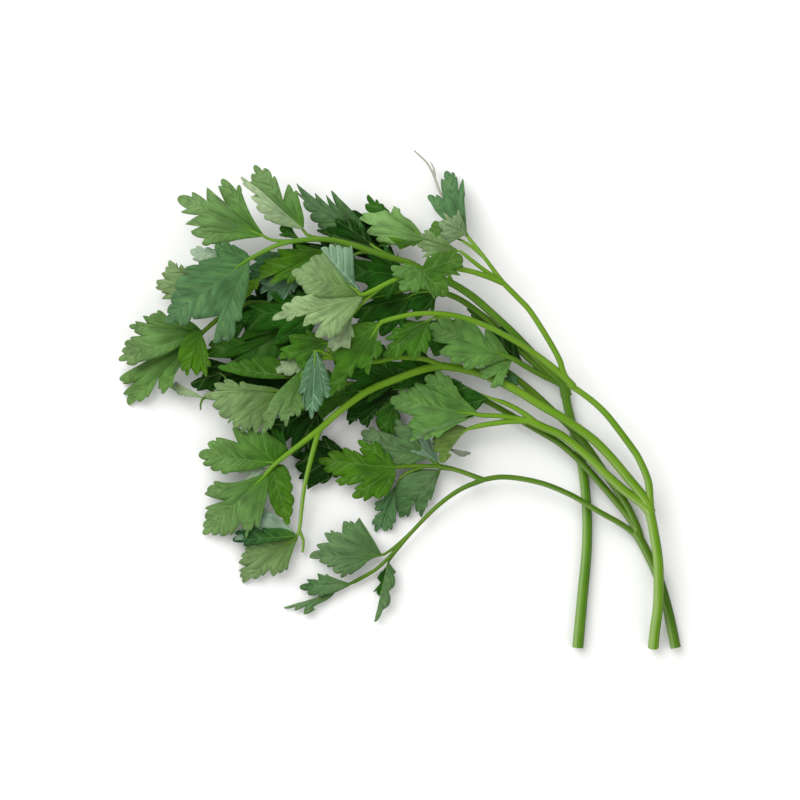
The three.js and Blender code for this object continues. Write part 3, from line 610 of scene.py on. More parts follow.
def leaf_material(name, vein_colour, vein_mix, saturation, roughness, shine, relief, sunk):
    """A parsley blade, upper or under face."""
    material = bare_material(name)
    tree = material.node_tree
    # The leaflet's green, with the painted shade and sheen of its tone.
    green = node(tree, "ShaderNodeAttribute", attribute_name="leaf_green").outputs["Color"]
    place = node(tree, "ShaderNodeTexCoord").outputs["Object"]
    map_of_veins = node(tree, "ShaderNodeUVMap", uv_map="veins").outputs["UV"]
    veins = node(tree, "ShaderNodeSeparateXYZ", {0: map_of_veins})
    spread = node(tree, "ShaderNodeUVMap", uv_map="off_rib").outputs["UV"]
    spread = node(tree, "ShaderNodeSeparateXYZ", {0: spread})
    # The rib of each lobe.
    rib_width = node(tree, "ShaderNodeMapRange", {
        0: spread.outputs[1], 2: RIB_NARROWS, 3: RIB_HALF_WIDTHS[0], 4: RIB_HALF_WIDTHS[1],
    })
    rib = node(tree, "ShaderNodeMapRange", {0: spread, 1: rib_width, 2: 0.0},
               interpolation_type="SMOOTHSTEP")
    # A side vein to each tooth, finest at the rim.
    vein_width = node(tree, "ShaderNodeMapRange", {
        0: veins.outputs[1], 3: SIDE_VEIN_HALF_WIDTHS[0], 4: SIDE_VEIN_HALF_WIDTHS[1],
    })
    side = node(tree, "ShaderNodeMath", {0: veins, 1: 0.5}, operation="PINGPONG")
    side = node(tree, "ShaderNodeMapRange", {0: side, 1: vein_width, 2: 0.0},
                interpolation_type="SMOOTHSTEP")
    # Finer veins between the side veins, which show as pale streaks.
    fine = node(tree, "ShaderNodeMath", {0: veins, 1: FINE_VEINS}, operation="MULTIPLY")
    fine = node(tree, "ShaderNodeMath", {0: fine, 1: 0.5}, operation="PINGPONG")
    fine = node(tree, "ShaderNodeMapRange", {0: fine, 1: FINE_VEIN_HALF_WIDTH, 2: 0.0},
                interpolation_type="SMOOTHSTEP")
    # The net of the finest veins.
    net = node(tree, "ShaderNodeTexVoronoi", {"Vector": place, "Scale": 1 / NET_MESH},
               feature="DISTANCE_TO_EDGE")
    net = node(tree, "ShaderNodeMapRange", {0: net, 1: NET_LINE, 2: 0.0},
               interpolation_type="SMOOTHSTEP")
    # Lighter and darker green, in streaks that run along the veins and in clouds; the
    # clouds are partly painted sheen.
    streak = node(tree, "ShaderNodeVectorMath", {0: map_of_veins, 1: STREAKS}, operation="MULTIPLY")
    streak = node(tree, "ShaderNodeTexNoise",
                  {"Vector": streak, "Scale": 1.0, "Detail": FINE_DETAIL}, noise_dimensions="2D")
    cloud = node(tree, "ShaderNodeTexNoise", {
        "Vector": place, "Scale": 1 / CLOUD, "Detail": FINE_DETAIL, "Roughness": CLOUD_ROUGHNESS,
    })
    both = node(tree, "ShaderNodeMath", {0: cloud, 1: streak}, operation="ADD")
    light = node(tree, "ShaderNodeMapRange", {
        0: both, 1: CLOUDED[0], 2: CLOUDED[1], 3: CLOUD_TONES[0], 4: CLOUD_TONES[1],
    })
    tint = node(tree, "ShaderNodeHueSaturation",
                {"Value": light, "Saturation": saturation, "Color": green})
    # The strongest vein at a place is the one that shows.
    finer = node(tree, "ShaderNodeMath", {0: fine, 1: FINE_VEIN_SHOWS}, operation="MULTIPLY")
    sides = node(tree, "ShaderNodeMath", {0: side, 1: finer}, operation="MAXIMUM")
    sides = node(tree, "ShaderNodeMath", {0: sides, 1: SIDE_VEIN_SHOWS}, operation="MULTIPLY")
    strong = node(tree, "ShaderNodeMath", {0: rib, 1: sides}, operation="MAXIMUM")
    weak = node(tree, "ShaderNodeMath", {0: net, 1: NET_SHOWS}, operation="MULTIPLY")
    veining = node(tree, "ShaderNodeMath", {0: strong, 1: weak}, operation="MAXIMUM")
    mix = node(tree, "ShaderNodeMath", {0: veining, 1: vein_mix}, operation="MULTIPLY")
    colour = node(tree, "ShaderNodeMix",
                  {0: mix, 6: tint, 7: linear(vein_colour)}, data_type="RGBA")
    bumps = node(tree, "ShaderNodeBump", {
        "Height": veining, "Distance": VEIN_RELIEF, "Strength": relief,
    }, invert=sunk)
    depth = node(tree, "ShaderNodeSeparateColor", {0: green})
    wax = node(tree, "ShaderNodeMapRange", {
        0: depth.outputs[1], 1: SHINE_BY_GREEN[0], 2: SHINE_BY_GREEN[1], 3: 0.0, 4: shine,
    })
    gloss = node(tree, "ShaderNodeTexNoise",
                 {"Vector": place, "Scale": 1 / WAX_PATCH, "Detail": PLAIN_DETAIL})
    gloss = node(tree, "ShaderNodeMapRange", {
        0: gloss, 3: roughness + WAX_VARIES[0], 4: roughness + WAX_VARIES[1],
    })
    shader = node(tree, "ShaderNodeBsdfPrincipled", {
        "Base Color": colour.outputs[2], "Roughness": gloss, "IOR": WAX_IOR,
        "Specular IOR Level": wax, "Normal": bumps,
    })
    node(tree, "ShaderNodeOutputMaterial", {0: shader})
    return material


# Living leaf with a wax skin: sunk veins and a soft shine.
upper_face = leaf_material(
    "waxy_leaf_upper_face", vein_colour="#86A660", vein_mix=0.3, saturation=1.0,
    roughness=0.42, shine=0.2, relief=0.3, sunk=True)
# The leaf's underside has little shine, and its veins stand out pale.
under_face = leaf_material(
    "matt_leaf_underside", vein_colour="#A5BC8C", vein_mix=0.34, saturation=0.85,
    roughness=0.6, shine=0.15, relief=0.25, sunk=False)
# A leaf of a greyer green, whose veins stand out nearly white.
veined_face = leaf_material(
    "pale_veined_leaf_upper_face", vein_colour="#93B796", vein_mix=0.8, saturation=0.9,
    roughness=0.5, shine=0.3, relief=0.3, sunk=True)
leaf_skins = [upper_face, under_face, veined_face]

left_leaflets = blades("left_leaflets", LEFT_LEAFLETS, leaf_skins, seed=1)
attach(left_leaflets, "root")
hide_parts("frond_left")

# ---------------------------------------------------------------------------
# The stalks of the left frond
#
# The leaf stalk and its branches are juicy and stiff, pale green, with fine ribs
# along them. They grew with the leaflets as one piece, and the thick end was cut.

# A stalk passes the points of its route and is as thick, in mm, as the two
# numbers of `thick` at its start and its end.
LEFT_STALKS = [
    dict(thick=(4.6, 3.5),
         route=[(578.5, 649, 2.35), (583, 600, 2.35), (587.5, 550, 2.35), (587.5, 508, 2.35),
                (582.3, 462, 2.2), (574, 429, 2.1), (568, 405, 2.2), (565.5, 388, 2.4)]),
    dict(thick=(2.6, 2),
         route=[(567, 396, 2.3), (563.5, 386, 3), (556, 381.5, 4), (548, 378, 5.2), (540, 374, 7),
                (526, 366.5, 11), (512, 358.5, 15.4)]),
    dict(thick=(4, 1.6),
         route=[(567, 396, 2.3), (563.5, 382.5, 3.6), (556, 376, 4.6), (550, 371, 5.2), (540, 361.5, 6.6),
                (530, 351, 8.4), (520, 340.5, 10), (510, 330.5, 11.4), (490, 312, 13.8), (480, 303, 15),
                (470, 295, 16), (460, 288.5, 17), (450, 283, 18), (430, 275, 20), (410, 264, 23),
                (385, 257, 27), (355, 247, 31), (324, 241, 33), (284, 245, 32), (251, 260, 29)]),
    dict(thick=(1.6, 1.3), route=[(452, 284, 17.6), (445, 266, 17), (437, 250, 16.6), (426, 240, 17)]),
    dict(thick=(1.4, 1.1), route=[(330, 303, 15.8), (314, 291, 17), (305, 282, 18), (298, 273, 20.6)]),
    dict(thick=(1.3, 1.1),
         route=[(309, 286, 17.4), (298, 275, 16.4), (281, 270, 16.6), (262, 277, 19.6)]),
    dict(thick=(1.2, 1), route=[(306, 283, 17.2), (296, 266, 17.4), (284, 252, 20.6)]),
    dict(thick=(3.2, 1.6),
         route=[(567, 396, 2.3), (563, 384, 3.2), (556, 379.5, 4), (550, 376, 4.4), (540, 368, 5.4),
                (530, 359, 6.4), (515, 345.5, 8), (500, 331.5, 9.5), (490, 321.5, 10.6),
                (480, 313.5, 11.5), (470, 306, 12.2), (460, 299.5, 13), (450, 295, 13.6), (441, 292, 14),
                (420, 287, 14.5), (380, 295, 15), (328, 304, 16)]),
]

# The ribs on a stalk, how deep the grooves between them are as a share of its radius,
# and how finely it is drawn.
RIBS = 9
RIB_DEPTH = 0.13
STALK_SIDES = 36
STALK_STEP = 2.2 * MM
LEAST_STEPS = 4
CURVE_STEPS = 12

# A stalk swells where it leaves another one. If it ends at the base of a leaflet, it
# runs on into the leaflet's rib, through these shares of its length, and gets finer.
JOINT_SWELL = 0.2
JOINT_REACH = 3.5 * MM
END_REACH = 2.5 * MM
RUNS_ON = (0.08, 0.16, 0.26)
FADE = 9 * MM
FADE_POWER = 0.7
FADED = 0.08

# Each other leaflet has a little stalk, this thick in mm. It leaves the branches near
# the closest of places this far apart, but roots somewhat before that one. It bends to
# the leaflet through points at a few shares of its way.
STALKLET_THICK = (1.5, 1.0)
ROOT_SPACING = 11 * MM
ROOT_BACK_SHARE = 0.35
LEAST_ROOT_BACK = 2 * MM
STALKLET_BEND = 0.35
STALKLET_PLACES = np.array([0, 3, 6, 9, 11])[:, None] / 11
STALKLET_STEPS = 8

# The way that the light comes from, painted on the stalks: the side of a stalk that
# faces it gets a painted highlight and the other side painted shade.
LIGHT_WAY = (-0.6, -0.45, 0.66)
# A face with more corners than this is the cut end of a stalk.
SIDE_CORNERS = 4


def stalk_tree():
    """The tree that sweeps a ribbed section along lines, as thick as their `radius`."""
    tree = bpy.data.node_groups.new("ribbed_stalk", "GeometryNodeTree")
    face = tree.interface
    face.new_socket("Geometry", in_out="INPUT", socket_type="NodeSocketGeometry")
    for name, kind in (("Ribs", "Int"), ("Rib Depth", "Float"), ("Sides", "Int"), ("Step", "Float"),
                       ("Skin", "Material"), ("Cut End", "Material")):
        face.new_socket(name, in_out="INPUT", socket_type="NodeSocket" + kind)
    face.new_socket("Geometry", in_out="OUTPUT", socket_type="NodeSocketGeometry")
    given = node(tree, "NodeGroupInput").outputs
    line = node(tree, "GeometryNodeMeshToCurve", {"Mesh": given["Geometry"]})
    line = node(tree, "GeometryNodeResampleCurve",
                {"Curve": line, "Length": given["Step"]}, mode="LENGTH")
    radius = node(tree, "GeometryNodeInputNamedAttribute", {"Name": "radius"}, data_type="FLOAT")
    spot = node(tree, "GeometryNodeInputPosition")
    line = node(tree, "GeometryNodeStoreNamedAttribute",
                {"Geometry": line, "Name": "middle", "Value": spot},
                data_type="FLOAT_VECTOR", domain="POINT")
    line = node(tree, "GeometryNodeSetCurveNormal", {"Curve": line}, mode="Z_UP")
    # The section is a circle with a groove between each two ribs.
    ring = node(tree, "GeometryNodeCurvePrimitiveCircle",
                {"Resolution": given["Sides"], "Radius": 1.0})
    parts = node(tree, "ShaderNodeSeparateXYZ", {0: spot})
    turn = node(tree, "ShaderNodeMath", {0: parts.outputs[1], 1: parts}, operation="ARCTAN2")
    wave = node(tree, "ShaderNodeMath", {0: turn, 1: given["Ribs"]}, operation="MULTIPLY")
    wave = node(tree, "ShaderNodeMath", {0: wave}, operation="COSINE")
    groove = node(tree, "ShaderNodeMapRange", {0: wave, 1: -1.0, 2: 1.0, 3: 1.0, 4: 0.0})
    sunk = node(tree, "ShaderNodeMath", {0: groove, 1: given["Rib Depth"]}, operation="MULTIPLY")
    inward = node(tree, "ShaderNodeMath", {0: sunk, 1: -1.0}, operation="MULTIPLY")
    shift = node(tree, "ShaderNodeVectorMath", {0: spot, "Scale": inward}, operation="SCALE")
    ring = node(tree, "GeometryNodeStoreNamedAttribute",
                {"Geometry": ring, "Name": "groove", "Value": groove},
                data_type="FLOAT", domain="POINT")
    ring = node(tree, "GeometryNodeSetPosition", {"Geometry": ring, "Offset": shift})
    rod = node(tree, "GeometryNodeCurveToMesh",
               {"Curve": line, "Profile Curve": ring, "Scale": radius, "Fill Caps": True})
    # The attribute stored here is 1 where the skin faces the light and -1 on the other
    # side; the stalk skins paint light and shade by it.
    middle = node(tree, "GeometryNodeInputNamedAttribute", {"Name": "middle"},
                  data_type="FLOAT_VECTOR")
    away = node(tree, "ShaderNodeVectorMath", {0: spot, 1: middle}, operation="SUBTRACT")
    away = node(tree, "ShaderNodeVectorMath", {0: away}, operation="NORMALIZE")
    lit_facing = node(tree, "ShaderNodeVectorMath", {0: away, 1: LIGHT_WAY}, operation="DOT_PRODUCT")
    rod = node(tree, "GeometryNodeStoreNamedAttribute",
               {"Geometry": rod, "Name": "lit_side", "Value": lit_facing.outputs["Value"]},
               data_type="FLOAT", domain="POINT")
    # The ends of the rod are flat and get the skin of the cut.
    sides = node(tree, "GeometryNodeInputMeshFaceNeighbors")
    is_cap = node(tree, "FunctionNodeCompare", {2: sides.outputs["Vertex Count"], 3: SIDE_CORNERS},
                  data_type="INT", operation="GREATER_THAN")
    is_side = node(tree, "FunctionNodeCompare", {2: sides.outputs["Vertex Count"], 3: SIDE_CORNERS},
                   data_type="INT", operation="LESS_EQUAL")
    made = node(tree, "GeometryNodeSetShadeSmooth",
                {"Geometry": rod, "Selection": is_side, "Shade Smooth": True})
    made = node(tree, "GeometryNodeRealizeInstances", {"Geometry": made})
    made = node(tree, "GeometryNodeSetMaterial", {"Geometry": made, "Material": given["Skin"]})
    made = node(tree, "GeometryNodeSetMaterial", {
        "Geometry": made, "Selection": is_cap, "Material": given["Cut End"],
    })
    node(tree, "NodeGroupOutput", {"Geometry": made})
    return tree


STALK_TREE = stalk_tree()


def swept(name, lines, skin, cut_end):
    """The stalks along these lines of points and radii, as one plain mesh."""
    points = np.vstack([line for line, _ in lines])
    radii = np.concatenate([radius for _, radius in lines])
    links, start = [], 0
    for line, _ in lines:
        links += [(start + i, start + i + 1) for i in range(len(line) - 1)]
        start += len(line)
    mesh = bpy.data.meshes.new(name + "_lines")
    mesh.from_pydata(points.tolist(), links, [])
    mesh.attributes.new("radius", "FLOAT", "POINT").data.foreach_set("value", radii)
    piece = bpy.data.objects.new(name, mesh)
    scene.collection.objects.link(piece)
    modifier = piece.modifiers.new("ribbed_stalk", "NODES")
    modifier.node_group = STALK_TREE
    values = {"Ribs": RIBS, "Rib Depth": RIB_DEPTH, "Sides": STALK_SIDES, "Step": STALK_STEP,
              "Skin": skin, "Cut End": cut_end}
    for item in STALK_TREE.interface.items_tree:
        if item.in_out == "INPUT" and item.name in values:
            modifier[item.identifier] = values[item.name]
    bpy.context.view_layer.update()
    evaluated = piece.evaluated_get(bpy.context.evaluated_depsgraph_get())
    shape = bpy.data.meshes.new_from_object(evaluated)
    piece.modifiers.clear()
    piece.data = shape
    shape.name = name
    return piece


def tapered(curve, thick):
    """Even points along a curve, how far along it each one is, and the radius there."""
    count = max(LEAST_STEPS, round(length_of(curve) / STALK_STEP)) + 1
    along = np.linspace(0, 1, count)
    first, last = thick
    radius = (first + (last - first) * along) * MM / 2
    return spread_evenly(curve, count), along * length_of(curve), radius


def kept(left):
    """The share of its thickness that a stalk keeps this far before its end in a rib."""
    return np.clip(left / FADE, 0, 1)**FADE_POWER * (1 - FADED) + FADED


def branch_line(stalk, leaflets, joined):
    """The line and radii of a branch, which runs on into the leaflet at its end."""
    route = [placed(*point) for point in stalk["route"]]
    ends_in = [leaf for leaf in leaflets
               if np.linalg.norm(placed(*leaf["base"]) - route[-1]) < END_REACH]
    if ends_in:
        route += [rib_point(ends_in[0], share) for share in RUNS_ON]
    curve = through(route, CURVE_STEPS)
    line, distance, radius = tapered(curve, stalk["thick"])
    if joined:
        radius *= 1 + JOINT_SWELL * np.exp(-distance / JOINT_REACH)
    if ends_in:
        radius *= kept(length_of(curve) - distance)
    return line, radius


def stalklet_line(leaf, branches):
    """The line and radii of a leaflet's little stalk, from the nearest branch."""
    base = placed(*leaf["base"])
    away = [np.linalg.norm(places - base, axis=1) for places in branches]
    branch = min(range(len(branches)), key=lambda number: away[number].min())
    places, nearest = branches[branch], int(away[branch].argmin())
    back = max(LEAST_ROOT_BACK, away[branch].min() * ROOT_BACK_SHARE)
    root = places[0]
    for place in places[nearest::-1]:
        if np.linalg.norm(place - places[nearest]) >= back:
            root = place
            break
    bent = places[nearest] + (base - places[nearest]) * STALKLET_BEND
    t = STALKLET_PLACES
    path = root * (1 - t)**2 + bent * 2 * t * (1 - t) + base * t**2
    curve = through([*path] + [rib_point(leaf, share) for share in RUNS_ON], STALKLET_STEPS)
    line, distance, radius = tapered(curve, STALKLET_THICK)
    return line, radius * kept(length_of(curve) - distance)


def stalk_lines(stalks, leaflets):
    """The lines and radii of a frond's stalks, and of the little stalks of its leaflets."""
    lines, branches = [], []
    for stalk in stalks:
        curve = through([placed(*point) for point in stalk["route"]], CURVE_STEPS)
        count = max(2, round(length_of(curve) / ROOT_SPACING)) + 1
        branches.append(spread_evenly(curve, count))
        lines.append(branch_line(stalk, leaflets, joined=bool(lines)))
    stalked = [places[-1] for places in branches]
    for leaf in leaflets:
        base = placed(*leaf["base"])
        if all(np.linalg.norm(place - base) >= END_REACH for place in stalked):
            stalked.append(base)
            lines.append(stalklet_line(leaf, branches))
    return lines


# How the skin of a stalk is coloured, by how much it faces the light: what faces away
# is darkened with painted shade, and what faces it is lightened with a pale painted
# highlight. The highlight is painted strongest at the thick end, and from the first to
# the second of two places along the bunch it fades to a fifth.
STALK_CLOUD = 16.67 * MM
STALK_CLOUDED = (0.3, 0.7)
GROOVE_SHOWS = 0.6
SHADED_WAY = (-0.6, 0.35)
SHADED_TONES = (0.52, 1.0)
HIGHLIGHT_WAY = (0.68, 0.9)
HIGHLIGHT_MOST = 0.62
HIGHLIGHT_PLACES = (-45 * MM, -10 * MM)
HIGHLIGHT_BEYOND = 0.2
SKIN_GRAIN = 1.111 * MM
SKIN_RELIEF = 0.05 * MM
SKIN_ROUGHNESS = (0.26, 0.42)
SKIN_IOR = 1.45
SKIN_SHINE = 0.16
# The cells of the pith show as a fine grain in the cut.
PITH_CELL = 0.5556 * MM
PITH_RELIEF = 0.1 * MM
PITH_ROUGHNESS = 0.35
PITH_IOR = 1.4


def stalk_skin(name, highlight_green, light, green, groove_green):
    """The ribbed skin of a stalk: paler ribs, greener grooves and a soft shine, with a
    painted highlight on the side that faces the light and painted shade on the other.
    """
    material = bare_material(name)
    tree = material.node_tree
    groove = node(tree, "ShaderNodeAttribute", attribute_name="groove").outputs["Fac"]
    place = node(tree, "ShaderNodeTexCoord").outputs["Object"]
    cloud = node(tree, "ShaderNodeTexNoise",
                 {"Vector": place, "Scale": 1 / STALK_CLOUD, "Detail": FINE_DETAIL})
    cloud = node(tree, "ShaderNodeMapRange", {0: cloud, 1: STALK_CLOUDED[0], 2: STALK_CLOUDED[1]})
    base = node(tree, "ShaderNodeMix", {0: cloud, 6: linear(green), 7: linear(light)},
                data_type="RGBA")
    deeper = node(tree, "ShaderNodeMath", {0: groove, 1: GROOVE_SHOWS}, operation="MULTIPLY")
    ribbed = node(tree, "ShaderNodeMix",
                  {0: deeper, 6: base.outputs[2], 7: linear(groove_green)}, data_type="RGBA")
    # Painted shade on the side turned from the light, a pale painted highlight on the other.
    side = node(tree, "ShaderNodeAttribute", attribute_name="lit_side").outputs["Fac"]
    painted_shade = node(tree, "ShaderNodeMapRange", {
        0: side, 1: SHADED_WAY[0], 2: SHADED_WAY[1], 3: SHADED_TONES[0], 4: SHADED_TONES[1],
    })
    with_shade = node(tree, "ShaderNodeMix", {0: 1.0, 6: ribbed.outputs[2], 7: painted_shade},
                 data_type="RGBA", blend_type="MULTIPLY")
    highlight = node(tree, "ShaderNodeMapRange", {
        0: side, 1: HIGHLIGHT_WAY[0], 2: HIGHLIGHT_WAY[1], 3: 0.0, 4: HIGHLIGHT_MOST,
    })
    # The painted highlight is strongest at the thick end.
    near_end = node(tree, "ShaderNodeSeparateXYZ", {0: place})
    near_end = node(tree, "ShaderNodeMapRange", {
        0: near_end.outputs[1], 1: HIGHLIGHT_PLACES[0], 2: HIGHLIGHT_PLACES[1],
        3: 1.0, 4: HIGHLIGHT_BEYOND,
    })
    highlight = node(tree, "ShaderNodeMath", {0: highlight, 1: near_end}, operation="MULTIPLY")
    colour = node(tree, "ShaderNodeMix",
                  {0: highlight, 6: with_shade.outputs[2], 7: linear(highlight_green)}, data_type="RGBA")
    grain = node(tree, "ShaderNodeTexNoise",
                 {"Vector": place, "Scale": 1 / SKIN_GRAIN, "Detail": PLAIN_DETAIL})
    relief = node(tree, "ShaderNodeBump", {"Height": grain, "Distance": SKIN_RELIEF})
    gloss = node(tree, "ShaderNodeMapRange", {0: grain, 3: SKIN_ROUGHNESS[0], 4: SKIN_ROUGHNESS[1]})
    shader = node(tree, "ShaderNodeBsdfPrincipled", {
        "Base Color": colour.outputs[2], "Roughness": gloss, "IOR": SKIN_IOR,
        "Specular IOR Level": SKIN_SHINE, "Normal": relief,
    })
    node(tree, "ShaderNodeOutputMaterial", {0: shader})
    return material


def cut_pith():
    """A knife-cut stalk end: wet pale pith."""
    material = bare_material("cut_stalk_pith")
    tree = material.node_tree
    place = node(tree, "ShaderNodeTexCoord").outputs["Object"]
    cells = node(tree, "ShaderNodeTexVoronoi", {"Vector": place, "Scale": 1 / PITH_CELL})
    colour = node(tree, "ShaderNodeMix",
                  {0: cells, 6: linear("#B9D28C"), 7: linear("#DDE8BE")}, data_type="RGBA")
    relief = node(tree, "ShaderNodeBump", {"Height": cells, "Distance": PITH_RELIEF})
    shader = node(tree, "ShaderNodeBsdfPrincipled", {
        "Base Color": colour.outputs[2], "Roughness": PITH_ROUGHNESS, "IOR": PITH_IOR,
        "Normal": relief,
    })
    node(tree, "ShaderNodeOutputMaterial", {0: shader})
    return material


# A fresh stalk of full green, with a soft wet shine; its first colour is the painted
# highlight on the side that faces the light.
left_skin = stalk_skin("green_parsley_stalk", "#A3BF7C", "#6A9426", "#4F7F10", "#3A6608")
cut_end = cut_pith()
left_lines = stalk_lines(LEFT_STALKS, LEFT_LEAFLETS)
left_stalks = swept("left_stalks", left_lines, left_skin, cut_end)
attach(left_stalks, "root")
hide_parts("frond_left")

# ---------------------------------------------------------------------------
# The front frond
#
# Another leaf of the plant, grown as one piece: soft blades on a juicy ribbed stalk,
# cut with a knife. Its stem lies over the others, and its leaflets top the heap.

